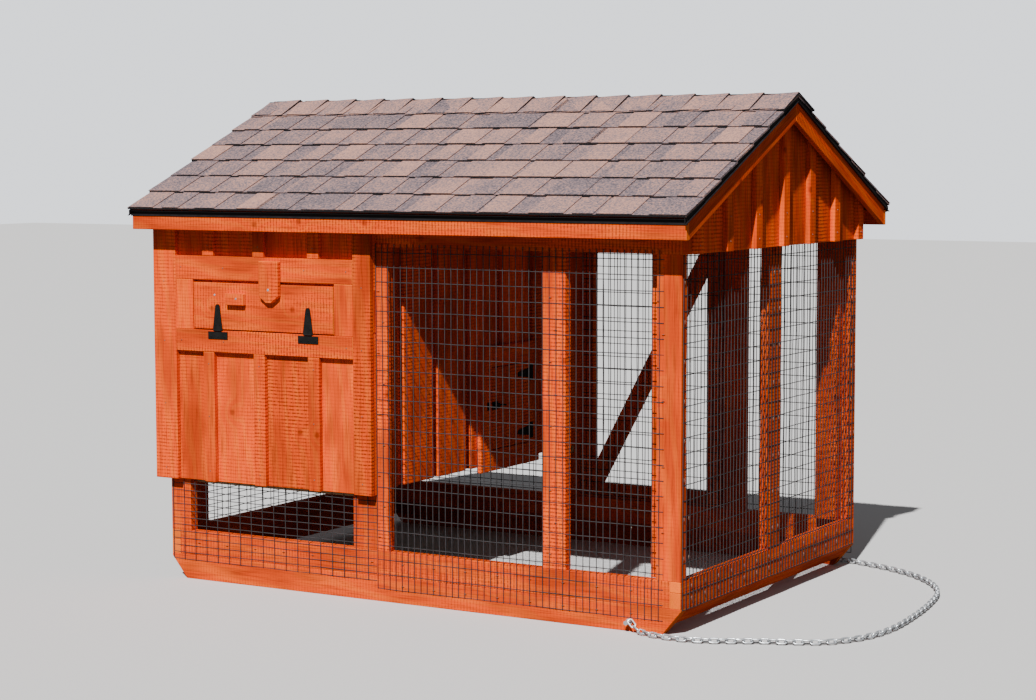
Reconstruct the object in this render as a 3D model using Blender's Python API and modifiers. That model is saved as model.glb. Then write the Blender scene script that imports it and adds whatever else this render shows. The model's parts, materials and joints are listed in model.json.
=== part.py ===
"""Chicken coop on skids: a board-and-batten hen house and a wire run under one gable roof.

Origin at the bottom centre of the coop. X runs along its length, from the house to the open
gable end of the run. Y runs across it, from the front, with the egg door, to the rear. Z is up.
"""

import math

import bmesh
import bpy
from mathutils import Matrix, Vector

INCH = 0.0254
GAP = 0.0003  # between pieces that touch
HALF_GAP = GAP / 2

# Sawn timber, in inches
THICK = 1.5  # of a two-by-four
BROAD = 3.5  # of a two-by-four
BOARD = 0.75  # thickness of siding, battens and trim
SUNK = 0.1  # depth to which battens and trim are drawn into the boards, to join them

# The frame, in inches
LENGTH = 82.0
WIDTH = 57.75
BASE_TOP = 7.0  # top of the rails that lie on the skids
PLATE_BOTTOM = 48.5
PLATE_TOP = PLATE_BOTTOM + BROAD
SLED_RISE = 3.15  # height of the sloping cut at each end of a skid
SLED_RUN = 2.6  # length of that cut
RIGHT = LENGTH / 2
LEFT = -RIGHT
REAR = WIDTH / 2
FRONT = -REAR
FRONT_IN = FRONT + THICK
REAR_IN = REAR - THICK
LEFT_IN = LEFT + THICK
RIGHT_IN = RIGHT - THICK

# The roof, in inches: each height falls by ROOF_SLOPE for each inch away from the ridge
ROOF_SLOPE = 5.5 / 12
SHINGLE_RIDGE = 69.0
DECK_RIDGE = 68.6
RAFTER_RIDGE = 68.0
RAKE_LOWER_RIDGE = 65.35
RAFTER_DEPTH = 3.1  # measured plumb
FASCIA_OUT = 33.25  # distance of the fascia's outer face from the ridge line
FASCIA_LOW = 50.45
FASCIA_HIGH = 52.65
EAVE_OUT = 34.0  # distance of the shingles' lower edge from the ridge line
DECK_END = 43.75
ROOF_END = 44.1
SHINGLE_COURSES = 6
CAP_REACH = 5.1  # of the ridge cap, down each slope, measured level
CAP_RISE = 0.3

# The hen house, in inches
SIDING_LOW = 14.65
JOIST_LOW = 13.9
FLOOR_LOW = JOIST_LOW + BROAD
FLOOR_HIGH = FLOOR_LOW + 0.5
HOUSE_RIGHT = -5.05
REAR_SIDING_RIGHT = -7.4
BATTEN = 1.9
BATTEN_PITCH = 8.9
TRIM_LEG = 4.0
FRONT_BATTENS = (-32.7, -23.85, -14.55)
PARTITION_FACE = -4.0  # surface of the partition's boards, on the run side
PARTITION_LOW = 15.5
PARTITION_GROOVE = 1.6
PARTITION_GROOVES = (-24.5, -15.7, -6.95, 1.9, 10.8, 19.6)

# The posts, in inches
JUNCTION_LEFT = -9.1  # the junction post is two studs side by side
RUN_POST_RIGHT = -3.35
MIDDLE_POST = 20.8
HINGE_POST = -8.4
LATCH_POST = 20.3
CORNER_LAP = 5.15  # width of the left corner posts' inner stud

# The egg door and its frame, in inches
EGG_FRAME = ((-38.5, 33.2), (-7.95, 46.75))
EGG_DOOR = ((-35.4, 36.3), (-11.0, 43.4))
EGG_HOLE = ((-34.9, 36.9), (-11.5, 42.8))
EGG_HINGES = (-30.95, -15.35)
BUTTON = (-21.6, 42.3)  # where the turn button pivots
BUTTON_HALF = 1.65
BUTTON_TOP = 46.25
BUTTON_POINT = 40.5

# The pop door between house and run, in inches: Y and Z
POP_FRAME = ((-4.7, 14.7), (12.1, 33.0))
POP_DOOR = ((-1.7, 17.75), (9.1, 30.0))
POP_HOLE = ((-1.2, 18.2), (8.6, 29.5))
POP_HINGES = (19.6, 28.3)
POP_BOLT_HEIGHT = 24.3

# The access door of the run, at the rear, in inches
DOOR_LEFT = -4.75
DOOR_RIGHT = 19.95
DOOR_LOW = 7.2
DOOR_HIGH = 48.3
DOOR_STILE = 2.5
DOOR_BOTTOM_RAIL = 2.1
DOOR_HINGES = (8.35, 47.0)
DOOR_BOLT_HEIGHT = 28.0

# Ironwork, in inches
PLATE = 0.1  # thickness of the hinge straps
KNUCKLE = 0.13  # radius of the hinge knuckles
KNUCKLE_LENGTH = 1.3
BOLT_RADIUS = 0.16
BOLT_TRAVEL = 0.6
BOLT_CASE = 1.5
MESH = 0.1  # thickness of the welded wire mesh

# The tow chain: its route in metres, and the radius of the space that its links fill
CHAIN_RADIUS = 0.011
CHAIN_STEP = 0.05
CHAIN_ROUTE = (
    (0.872, -0.751, 0.034), (0.897, -0.760, 0.016), (0.930, -0.774, 0.0115), (0.985, -0.791, 0.0115),
    (1.065, -0.796, 0.0115), (1.140, -0.783, 0.0115), (1.225, -0.744, 0.0115), (1.310, -0.698, 0.0115),
    (1.398, -0.662, 0.0115), (1.500, -0.600, 0.0115), (1.575, -0.470, 0.0115), (1.602, -0.300, 0.0115),
    (1.592, -0.080, 0.0115), (1.568, 0.120, 0.0115), (1.528, 0.310, 0.0115), (1.455, 0.460, 0.0115),
    (1.350, 0.580, 0.0115), (1.230, 0.665, 0.0115), (1.120, 0.715, 0.0115), (1.040, 0.745, 0.0115),
    (0.965, 0.764, 0.0115), (0.915, 0.764, 0.0115), (0.872, 0.751, 0.034),
)
CHAIN_BOLT = (33.7, 1.25)  # X and Z of the bolts that hold the chain, in inches

FINISHES = {
    "stained_wood": ((0.62, 0.17, 0.05), 0.65, 0.0),
    "plywood": ((0.55, 0.40, 0.24), 0.7, 0.0),
    "shingle": ((0.17, 0.12, 0.11), 0.95, 0.0),
    "black_steel": ((0.012, 0.012, 0.014), 0.45, 0.6),
    "wire": ((0.10, 0.10, 0.11), 0.45, 0.8),
    "galvanised_steel": ((0.62, 0.64, 0.66), 0.35, 0.9),
}


def clear_scene():
    for obj in list(bpy.data.objects):
        bpy.data.objects.remove(obj, do_unlink=True)


def new_collection(name):
    collection = bpy.data.collections.new(name)
    bpy.context.scene.collection.children.link(collection)
    return collection


def material(slot):
    """The finish of one slot, made on its first use."""
    if slot in bpy.data.materials:
        return bpy.data.materials[slot]
    colour, roughness, metallic = FINISHES[slot]
    made = bpy.data.materials.new(slot)
    made.use_nodes = True
    shader = made.node_tree.nodes["Principled BSDF"]
    shader.inputs["Base Color"].default_value = (*colour, 1.0)
    shader.inputs["Roughness"].default_value = roughness
    shader.inputs["Metallic"].default_value = metallic
    return made


def place(name, mesh, slot, pivot=(0, 0, 0)):
    """Puts a mesh that is drawn in place into the coop, with its origin at the pivot, in metres."""
    mesh.transform(Matrix.Translation(-Vector(pivot)))
    mesh.name = name
    obj = bpy.data.objects.new(name, mesh)
    obj.location = pivot
    if slot is None:
        CUTTERS.objects.link(obj)
        obj.hide_render = True
        obj.display_type = "WIRE"
    else:
        COOP.objects.link(obj)
        mesh.materials.append(material(slot))
    return obj


def box_mesh(low, high, inset=HALF_GAP):
    """A box between two corners in inches, drawn inside them by the inset."""
    low = Vector(low) * INCH + Vector((inset,) * 3)
    high = Vector(high) * INCH - Vector((inset,) * 3)
    shape = bmesh.new()
    bmesh.ops.create_cube(shape, size=1.0)
    bmesh.ops.scale(shape, vec=high - low, verts=shape.verts)
    bmesh.ops.translate(shape, vec=(low + high) / 2, verts=shape.verts)
    mesh = bpy.data.meshes.new("box")
    shape.to_mesh(mesh)
    shape.free()
    return mesh


def boxes(name, corners):
    """A cutter that holds several separate boxes."""
    shape = bmesh.new()
    for low, high in corners:
        shape.from_mesh(box_mesh(low, high))
    mesh = bpy.data.meshes.new("boxes")
    shape.to_mesh(mesh)
    shape.free()
    return place(name, mesh, None)


def box(name, low, high, slot="stained_wood", pivot=(0, 0, 0), inset=HALF_GAP):
    return place(name, box_mesh(low, high, inset), slot, pivot)


def inset_outline(points, inset):
    """The outline with every edge moved in by the inset. Points run counter-clockwise, in metres."""
    moved = []
    for i, here in enumerate(points):
        before = (here - points[i - 1]).normalized()
        after = (points[(i + 1) % len(points)] - here).normalized()
        inward = Vector((-before.y - after.y, before.x + after.x)).normalized()
        reach = inset / max(0.2, inward.dot(Vector((-before.y, before.x))))
        moved.append(here + inward * reach)
    return moved


def counter_clockwise(points):
    area = sum(a.x * b.y - b.x * a.y for a, b in zip(points, points[1:] + points[:1]))
    return points if area > 0 else points[::-1]


PLANES = {
    "XY": Matrix(((1, 0, 0), (0, 1, 0), (0, 0, 1))),
    "XZ": Matrix(((1, 0, 0), (0, 0, -1), (0, 1, 0))),
    "YZ": Matrix(((0, 0, 1), (1, 0, 0), (0, 1, 0))),
}


def outline_mesh(plane, outlines, low, high, inset=HALF_GAP):
    """Flat outlines in inches, the first one solid and the others holes, thickened between low and high."""
    curve = bpy.data.curves.new("outline", "CURVE")
    curve.dimensions = "2D"
    curve.fill_mode = "BOTH"
    curve.extrude = (high - low) * INCH / 2 - inset
    for i, outline in enumerate(outlines):
        points = counter_clockwise([Vector(p) * INCH for p in outline])
        points = inset_outline(points, -inset if i else inset)
        spline = curve.splines.new("POLY")
        spline.points.add(len(points) - 1)
        spline.use_cyclic_u = True
        for target, point in zip(spline.points, points):
            target.co = (point.x, point.y, 0, 1)
    middle = (low + high) * INCH / 2
    along = -middle if plane == "XZ" else middle
    turn = PLANES[plane].to_4x4() @ Matrix.Translation((0, 0, along))
    return mesh_of_curve(curve, turn)


def mesh_of_curve(curve, turn):
    """The closed mesh of a curve, with its caps welded on. The curve is removed."""
    guide = bpy.data.objects.new("guide", curve)
    bpy.context.scene.collection.objects.link(guide)
    graph = bpy.context.evaluated_depsgraph_get()
    mesh = bpy.data.meshes.new_from_object(guide.evaluated_get(graph))
    bpy.data.objects.remove(guide)
    shape = bmesh.new()
    shape.from_mesh(mesh)
    bmesh.ops.remove_doubles(shape, verts=shape.verts, dist=1e-6)
    bmesh.ops.dissolve_limit(shape, angle_limit=0.0005, verts=shape.verts, edges=shape.edges)
    bmesh.ops.transform(shape, matrix=turn, verts=shape.verts)
    bmesh.ops.recalc_face_normals(shape, faces=shape.faces)
    shape.to_mesh(mesh)
    shape.free()
    mesh.materials.clear()
    return mesh


def outline(name, plane, outlines, low, high, slot="stained_wood", pivot=(0, 0, 0), inset=HALF_GAP):
    return place(name, outline_mesh(plane, outlines, low, high, inset), slot, pivot)


def rectangle(low, high):
    return [low, (high[0], low[1]), high, (low[0], high[1])]


def boolean(obj, cutter, operation="DIFFERENCE"):
    """Cuts the object with the cutter, or joins the two, and keeps the modifier."""
    modifier = obj.modifiers.new(cutter.name, "BOOLEAN")
    modifier.operation = operation
    modifier.object = cutter
    return obj


def cylinder_mesh(radius, start, end, sides=16):
    """A cylinder from start to end, all in metres."""
    start = Vector(start)
    end = Vector(end)
    shape = bmesh.new()
    turn = (end - start).to_track_quat("Z", "Y").to_matrix().to_4x4()
    bmesh.ops.create_cone(
        shape, cap_ends=True, segments=sides, radius1=radius, radius2=radius, depth=(end - start).length
    )
    bmesh.ops.transform(shape, matrix=Matrix.Translation((start + end) / 2) @ turn, verts=shape.verts)
    mesh = bpy.data.meshes.new("cylinder")
    shape.to_mesh(mesh)
    shape.free()
    return mesh


def roof_line(height_at_ridge, y):
    return height_at_ridge - ROOF_SLOPE * abs(y)


def chevron(upper, lower, reach):
    """The outline of a folded roof layer across the coop, between two heights at the ridge."""
    return [
        (-reach, roof_line(lower, reach)), (0, lower), (reach, roof_line(lower, reach)),
        (reach, roof_line(upper, reach)), (0, upper), (-reach, roof_line(upper, reach)),
    ]


def build_base():
    """Skids with sledge-cut ends, end beams that tie them, and the rails on top."""
    ground = -HALF_GAP / INCH
    skid = [
        (LEFT, SLED_RISE), (LEFT + SLED_RUN, ground), (RIGHT - SLED_RUN, ground), (RIGHT, SLED_RISE),
        (RIGHT, BROAD), (LEFT, BROAD),
    ]
    outline("front_skid", "XZ", [skid], FRONT, FRONT_IN)
    outline("rear_skid", "XZ", [skid], REAR_IN, REAR)
    slope = SLED_RISE / SLED_RUN
    for side, inner, outer in (("left", LEFT_IN, LEFT), ("right", RIGHT_IN, RIGHT)):
        near, far = sorted((inner, outer))
        end_beam = box(f"{side}_end_beam", (near, FRONT, BROAD), (far, REAR, BASE_TOP))
        board = box(f"{side}_end_board", (near, FRONT_IN, 0.6), (far, REAR_IN, BROAD + SUNK), None)
        boolean(end_beam, board, "UNION")
        past = math.copysign(1.0, outer)
        wedge = [
            (inner - past, SLED_RISE - slope * (THICK + 1)), (outer + past, SLED_RISE + slope),
            (outer + past, -3.0), (inner - past, -3.0),
        ]
        cutter = outline(f"{side}_sled_cut", "XZ", [wedge], FRONT_IN - 0.2, REAR_IN + 0.2, None)
        boolean(end_beam, cutter)
    for side, low, high in (("front", FRONT, FRONT_IN), ("rear", REAR_IN, REAR)):
        box(f"{side}_rail", (LEFT_IN, low, BROAD), (RIGHT_IN, high, BASE_TOP))


def build_posts():
    """Posts between the rails and the top plates; the corner posts are two studs nailed together."""
    for side, face, inner, sign in (("front", FRONT, FRONT_IN, 1), ("rear", REAR, REAR_IN, -1)):
        lap = inner + sign * (CORNER_LAP)
        left = [
            (LEFT, face), (LEFT + BROAD, face), (LEFT + BROAD, inner), (LEFT_IN, inner),
            (LEFT_IN, lap), (LEFT, lap),
        ]
        outline(f"{side}_left_post", "XY", [left], BASE_TOP, PLATE_BOTTOM)
        deep = inner + sign * THICK
        right = [
            (RIGHT - BROAD, face), (RIGHT, face), (RIGHT, inner), (RIGHT_IN, inner), (RIGHT_IN, deep),
            (RIGHT_IN - BROAD, deep), (RIGHT_IN - BROAD, inner), (RIGHT - BROAD, inner),
        ]
        outline(f"{side}_right_post", "XY", [right], BASE_TOP, PLATE_BOTTOM)
    plain = {
        "front_junction_post": (JUNCTION_LEFT, RUN_POST_RIGHT, FRONT),
        "front_middle_post": (MIDDLE_POST, MIDDLE_POST + BROAD, FRONT),
        "rear_hinge_post": (HINGE_POST, HINGE_POST + BROAD, REAR_IN),
        "rear_latch_post": (LATCH_POST, LATCH_POST + BROAD, REAR_IN),
    }
    for name, (low_x, high_x, low_y) in plain.items():
        box(name, (low_x, low_y, BASE_TOP), (high_x, low_y + THICK, PLATE_BOTTOM))
    box("right_end_post", (RIGHT_IN, -BROAD / 2, BASE_TOP), (RIGHT, BROAD / 2, PLATE_BOTTOM))


def build_roof_frame():
    """Top plates, the framed gable of the run and one pair of rafters over the run."""
    box("front_top_plate", (LEFT, FRONT, PLATE_BOTTOM), (RIGHT, FRONT_IN, PLATE_TOP))
    box("rear_top_plate", (LEFT, REAR_IN, PLATE_BOTTOM), (RIGHT, REAR, PLATE_TOP))
    eave = roof_line(RAFTER_RIDGE, REAR_IN)
    inner_ridge = RAFTER_RIDGE - RAFTER_DEPTH
    reach = (inner_ridge - PLATE_TOP) / ROOF_SLOPE
    half_stud = THICK / 2
    rim = [
        (FRONT_IN, PLATE_BOTTOM), (REAR_IN, PLATE_BOTTOM), (REAR_IN, eave), (0, RAFTER_RIDGE), (FRONT_IN, eave),
    ]
    left_hole = [
        (-reach + 3, PLATE_TOP), (-half_stud, PLATE_TOP), (-half_stud, roof_line(inner_ridge, half_stud)),
        (-reach + 3, roof_line(inner_ridge, reach - 3)),
    ]
    right_hole = [(-y, z) for y, z in left_hole]
    outline("right_gable_frame", "YZ", [rim, left_hole, right_hole], RIGHT_IN, RIGHT)
    rafters = chevron(RAFTER_RIDGE, inner_ridge - 0.4, REAR_IN)
    outline("run_rafters", "YZ", [rafters], MIDDLE_POST + 1.0, MIDDLE_POST + 1.0 + THICK)


def build_roof():
    """Deck, stepped courses of shingles, ridge cap, fascias, rake boards and the gable siding."""
    outline("roof_deck", "YZ", [chevron(DECK_RIDGE, RAFTER_RIDGE, FASCIA_OUT)], -DECK_END, DECK_END)
    depth = EAVE_OUT / SHINGLE_COURSES
    step = 0.14
    for side, sign in (("front", -1), ("rear", 1)):
        courses = [(0, DECK_RIDGE), (sign * EAVE_OUT, roof_line(DECK_RIDGE, EAVE_OUT))]
        for course in range(SHINGLE_COURSES, 0, -1):
            low_y = course * depth
            high_y = low_y - depth
            courses.append((sign * low_y, roof_line(SHINGLE_RIDGE, low_y)))
            courses.append((sign * high_y, roof_line(SHINGLE_RIDGE - step, high_y)))
        outline(f"{side}_shingles", "YZ", [courses], -ROOF_END, ROOF_END)
    cap = chevron(SHINGLE_RIDGE + CAP_RISE, SHINGLE_RIDGE + 0.02, CAP_REACH)
    outline("ridge_cap", "YZ", [cap], -ROOF_END, ROOF_END)
    for side, sign in (("front", -1), ("rear", 1)):
        faces = sorted((sign * FASCIA_OUT, sign * (FASCIA_OUT - BOARD)))
        box(f"{side}_fascia", (-DECK_END, faces[0], FASCIA_LOW), (DECK_END, faces[1], FASCIA_HIGH))
    rake = chevron(RAFTER_RIDGE, RAKE_LOWER_RIDGE, FASCIA_OUT - BOARD)
    for side, sign in (("left", -1), ("right", 1)):
        faces = sorted((sign * DECK_END, sign * (DECK_END - BOARD)))
        outline(f"{side}_rake_boards", "YZ", [rake], *faces)
    end_wall("right_gable_siding", RIGHT, 1, PLATE_BOTTOM, (-3, 4))


def end_wall(name, face, out, low, steps):
    """Upright boards across one end of the coop up to the roof, with battens over their joints."""
    near, far = sorted((face, face + out * BOARD))
    wall = box(name, (near, FRONT, low), (far, REAR, 69.5))
    near, far = sorted((face + out * (BOARD - SUNK), face + out * 2 * BOARD))
    battens = [
        ((near, n * BATTEN_PITCH - BATTEN / 2, low + SUNK), (far, n * BATTEN_PITCH + BATTEN / 2, 69.4))
        for n in range(*steps)
    ]
    boolean(wall, boxes(f"{name}_battens", battens), "UNION")
    boolean(wall, CUTS["above_rafters"])


def build_house():
    """Floor, board-and-batten walls with their corner trim, and the partition towards the run."""
    floor = box("house_floor", (LEFT_IN, FRONT_IN, FLOOR_LOW), (-5.6, REAR_IN, FLOOR_HIGH), "plywood")
    corner = CORNER_LAP + 0.2
    for side, y in (("front", FRONT_IN), ("rear", REAR_IN - 1.5)):
        joist = box(f"{side}_joist_shape", (LEFT_IN + 0.1, y, JOIST_LOW), (-5.7, y + THICK, FLOOR_LOW + 0.2), None)
        boolean(floor, joist, "UNION")
    for middle in (-28.9, -17.0):
        joist = box(
            f"joist_shape_{-middle:.0f}", (middle, FRONT_IN + 1.0, JOIST_LOW),
            (middle + THICK, REAR_IN - 1.0, FLOOR_LOW + 0.2), None,
        )
        boolean(floor, joist, "UNION")
    wing = LEFT - 2 * BOARD
    top = PLATE_TOP - SUNK
    for side, face, out, right in (("front", FRONT, -1, HOUSE_RIGHT), ("rear", REAR, 1, REAR_SIDING_RIGHT)):
        near, far = sorted((face, face + out * BOARD))
        wall = box(f"house_{side}_siding", (LEFT - BOARD, near, SIDING_LOW), (right, far, PLATE_TOP))
        near, far = sorted((face + out * (BOARD - SUNK), face + out * 2 * BOARD))
        low = SIDING_LOW + SUNK
        strips = [((wing, near, low), (wing + TRIM_LEG, far, top)), ((right - 2.88, near, low), (right - SUNK, far, top))]
        for middle in FRONT_BATTENS:
            sides = (middle - BATTEN / 2, middle + BATTEN / 2)
            if side == "rear":
                strips.append(((sides[0], near, low), (sides[1], far, top)))
            else:
                strips.append(((sides[0], near, low), (sides[1], far, EGG_FRAME[0][1])))
                strips.append(((sides[0], near, EGG_FRAME[1][1]), (sides[1], far, top)))
        boolean(wall, boxes(f"{side}_battens", strips), "UNION")
        near, far = sorted((face - out * 2.5, face + out * (2 * BOARD - SUNK)))
        leg = box(f"{side}_trim_leg", (wing + 0.05, near, low + SUNK), (LEFT - BOARD - 0.02, far, top - SUNK), None)
        boolean(wall, leg, "UNION")
        if side == "front":
            (low_x, low_z), (high_x, high_z) = EGG_HOLE
            boolean(wall, box("egg_hole", (low_x, face - 2, low_z), (high_x, face + 1, high_z), None))
    end_wall("house_left_siding", LEFT, -1, SIDING_LOW, (-2, 3))
    back = PARTITION_FACE - 2 * BOARD
    partition = box("partition_siding", (back, FRONT_IN, PARTITION_LOW), (back + BOARD, REAR_IN, 69.5))
    edges = [FRONT_IN + SUNK]
    for groove in PARTITION_GROOVES:
        edges += [groove - PARTITION_GROOVE / 2, groove + PARTITION_GROOVE / 2]
    edges.append(REAR_IN - SUNK)
    boards = [
        ((back + BOARD - SUNK, near, PARTITION_LOW + SUNK), (PARTITION_FACE, far, 69.4))
        for near, far in zip(edges[::2], edges[1::2])
    ]
    boolean(partition, boxes("partition_boards", boards), "UNION")
    boolean(partition, CUTS["above_rafters"])
    (low_y, low_z), (high_y, high_z) = POP_HOLE
    hole = box("pop_hole", (back - 1, low_y, low_z), (PARTITION_FACE + 1, high_y, high_z), None)
    boolean(partition, hole)


def build_inside():
    """The nest boxes behind the egg door and the roost."""
    low = 34.0
    shelf = box("nest_box", (LEFT_IN + 2, FRONT_IN, low), (JUNCTION_LEFT, -14.0, low + 0.6), "plywood")
    parts = {
        "nest_lip": ((LEFT_IN + 2.1, -14.7, low + 0.1), (JUNCTION_LEFT - 0.1, -14.1, low + 4.0)),
        "nest_divider": ((-23.5, FRONT_IN + 0.1, low + 0.1), (-22.9, -14.2, low + 10.0)),
    }
    for name, (corner, other) in parts.items():
        boolean(shelf, box(f"{name}_shape", corner, other, None), "UNION")
    roost = box("roost_bar", (LEFT, 14.0, 30.0), (PARTITION_FACE - 2 * BOARD, 14.0 + THICK, 30.0 + THICK))
    rounding = roost.modifiers.new("rounding", "BEVEL")
    rounding.width = 0.25 * INCH
    rounding.segments = 2


def strap_hinge(name, pivot, along, axis, length, root=1.7, tip=0.75):
    """The strap of a T-hinge and its knuckle: it runs along the door from the pivot, in inches."""
    along = Vector(along)
    axis = Vector(axis)
    normal = along.cross(axis)
    frame = Matrix((along, axis, normal)).transposed().to_4x4()
    frame.translation = Vector(pivot) * INCH
    leaf = [
        (KNUCKLE * 0.2, -root / 2), (length - 0.25, -tip / 2), (length, -tip / 4),
        (length, tip / 4), (length - 0.25, tip / 2), (KNUCKLE * 0.2, root / 2),
    ]
    back = -KNUCKLE + GAP / INCH
    mesh = outline_mesh("XY", [leaf], back, back + PLATE, 0)
    mesh.transform(frame)
    strap = place(name, mesh, "black_steel", Vector(pivot) * INCH)
    half = axis * KNUCKLE_LENGTH / 2
    centre = Vector(pivot)
    radius = (KNUCKLE - GAP / INCH) * INCH
    knuckle = cylinder_mesh(radius, (centre - half) * INCH, (centre + half) * INCH)
    boolean(strap, place(f"{name}_knuckle_shape", knuckle, None), "UNION")
    return strap


def sliding_bolt(name, nose, along, up, out):
    """A barrel bolt on a door: the case, and the rod that slides along its direction."""
    along, up, out = Vector(along), Vector(up), Vector(out)
    frame = Matrix((up, out, along)).transposed().to_4x4()
    if frame.determinant() < 0:
        frame = Matrix((-up, out, along)).transposed().to_4x4()
    nose = Vector(nose)
    frame.translation = nose * INCH
    axis_height = 0.28
    sides = 16
    bore = [
        (
            (BOLT_RADIUS + 0.02) * math.cos(2 * math.pi * n / sides),
            axis_height + (BOLT_RADIUS + 0.02) * math.sin(2 * math.pi * n / sides),
        )
        for n in range(sides)
    ]
    foot = GAP / INCH
    saddle = [(-0.6, foot), (0.6, foot), (0.6, 0.08), (0.3, 0.12), (0.3, 0.42), (0.18, 0.55), (-0.18, 0.55),
              (-0.3, 0.42), (-0.3, 0.12), (-0.6, 0.08)]
    case = outline_mesh("XY", [saddle, bore], -BOLT_CASE, 0, 0)
    case.transform(frame)
    place(f"{name}_case", case, "black_steel")
    centre = nose + out * axis_height
    rod = cylinder_mesh(BOLT_RADIUS * INCH, (centre - along * 2.6) * INCH, centre * INCH)
    bolt = place(name, rod, "black_steel", centre * INCH)
    grip = centre - along * 2.4
    knob = cylinder_mesh(0.13 * INCH, grip * INCH, (grip + out * 0.65) * INCH, 12)
    boolean(bolt, place(f"{name}_knob_shape", knob, None), "UNION")


def build_egg_door():
    """The flush frame, the drop-down door with its hinges, and the turn button on the door."""
    surface = FRONT - 2 * BOARD
    outline(
        "egg_door_frame", "XZ", [rectangle(*EGG_FRAME), rectangle(*EGG_DOOR)], surface, FRONT - BOARD,
    )
    hinge_height = EGG_DOOR[0][1]
    axis_y = surface - KNUCKLE
    pivot = Vector((0, axis_y, hinge_height)) * INCH
    clear = 0.06
    (low_x, low_z), (high_x, high_z) = EGG_DOOR
    box(
        "egg_door", (low_x + clear, surface, low_z + clear), (high_x - clear, FRONT - BOARD, high_z - clear),
        pivot=pivot,
    )
    for side, x in zip(("left", "right"), EGG_HINGES):
        strap_hinge(f"egg_door_{side}_strap", (x, axis_y, hinge_height), (0, 0, 1), (-1, 0, 0), 3.7)
    x, z = BUTTON
    button = [
        (x - BUTTON_HALF, BUTTON_TOP), (x - BUTTON_HALF, BUTTON_POINT + 0.9), (x - 0.45, BUTTON_POINT),
        (x + 0.45, BUTTON_POINT), (x + BUTTON_HALF, BUTTON_POINT + 0.9), (x + BUTTON_HALF, BUTTON_TOP),
    ]
    outline(
        "turn_button", "XZ", [button], surface - BOARD, surface,
        pivot=(x * INCH, (surface - BOARD / 2) * INCH, z * INCH),
    )


def build_pop_door():
    """The small door between house and run, its frame, hinges and bolt."""
    surface = PARTITION_FACE + BOARD
    outline("pop_door_frame", "YZ", [rectangle(*POP_FRAME), rectangle(*POP_DOOR)], PARTITION_FACE, surface)
    axis_x = surface + KNUCKLE
    hinge_y = POP_DOOR[1][0]
    clear = 0.06
    (low_y, low_z), (high_y, high_z) = POP_DOOR
    box(
        "pop_door", (PARTITION_FACE, low_y + clear, low_z + clear), (surface, high_y - clear, high_z - clear),
        pivot=Vector((axis_x, hinge_y, 0)) * INCH,
    )
    for side, z in zip(("lower", "upper"), POP_HINGES):
        strap_hinge(f"pop_door_{side}_strap", (axis_x, hinge_y, z), (0, -1, 0), (0, 0, -1), 3.4, 1.5, 0.7)
    sliding_bolt("pop_door_bolt", (surface, low_y + clear + 0.05, POP_BOLT_HEIGHT), (0, -1, 0), (0, 0, 1), (1, 0, 0))


def build_access_door():
    """The run's rear door: a braced frame, its mesh, hinges and bolt."""
    hinge_x = DOOR_LEFT - 0.05
    axis_y = REAR + KNUCKLE
    pivot = Vector((hinge_x, axis_y, 0)) * INCH
    rim = rectangle((DOOR_LEFT, DOOR_LOW), (DOOR_RIGHT, DOOR_HIGH))
    low = DOOR_LOW + DOOR_BOTTOM_RAIL
    high = DOOR_HIGH - DOOR_STILE
    near = DOOR_LEFT + DOOR_STILE
    far = DOOR_RIGHT - DOOR_STILE
    lower_hole = [(near + 1.9, low), (far, low), (far, high - 0.5)]
    upper_hole = [(near, low + 2.4), (far - 2.6, high), (near, high)]
    outline("access_door_frame", "XZ", [rim, lower_hole, upper_hole], REAR_IN, REAR, pivot=pivot)
    box(
        "access_door_mesh", (DOOR_LEFT + 0.3, REAR_IN - MESH, DOOR_LOW + 0.3),
        (DOOR_RIGHT - 0.3, REAR_IN, DOOR_HIGH - 0.3), "wire", pivot=pivot,
    )
    for side, z in zip(("lower", "upper"), DOOR_HINGES):
        strap_hinge(f"access_door_{side}_strap", (hinge_x, axis_y, z), (1, 0, 0), (0, 0, -1), 6.5, 1.7, 0.8)
    sliding_bolt("access_door_bolt", (DOOR_RIGHT - 0.1, REAR, DOOR_BOLT_HEIGHT), (1, 0, 0), (0, 0, 1), (0, 1, 0))


def build_mesh():
    """Welded wire nailed over the outside of the frame; the house's skirt turns the rear left corner."""
    top = PLATE_BOTTOM + 0.5
    box("front_run_mesh", (HOUSE_RIGHT, FRONT - MESH, 1.8), (38.55, FRONT, top), "wire")
    box("front_skirt_mesh", (-40.6, FRONT - MESH, 2.8), (-5.25, FRONT, SIDING_LOW - 0.05), "wire")
    box("right_end_mesh", (RIGHT, FRONT + 0.4, 3.3), (RIGHT + MESH, REAR - 0.4, PLATE_BOTTOM - 0.05), "wire")
    box("rear_run_mesh", (LATCH_POST + 2.1, REAR, 1.8), (RIGHT - 0.4, REAR + MESH, top), "wire")
    skirt = [
        (LEFT, FRONT + 0.4), (LEFT, REAR), (HINGE_POST + 0.4, REAR), (HINGE_POST + 0.4, REAR + MESH),
        (LEFT - MESH, REAR + MESH), (LEFT - MESH, FRONT + 0.4),
    ]
    outline("rear_skirt_mesh", "XY", [skirt], 3.3, SIDING_LOW - 0.05, "wire")


def smooth_route(route, step):
    """Points about a step apart on a smooth curve through the route."""
    route = [Vector(p) for p in route]
    ends = [route[0] * 2 - route[1]] + route + [route[-1] * 2 - route[-2]]
    fine = []
    for a, b, c, d in zip(ends, ends[1:], ends[2:], ends[3:]):
        for n in range(16):
            t = n / 16
            fine.append(
                0.5 * (2 * b + (c - a) * t + (2 * a - 5 * b + 4 * c - d) * t * t + (3 * b - a - 3 * c + d) * t**3)
            )
    fine.append(route[-1])
    points = [fine[0]]
    for point in fine[1:-1]:
        if (point - points[-1]).length >= step and (point - fine[-1]).length >= step / 2:
            points.append(point)
    return points + [fine[-1]]


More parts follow.
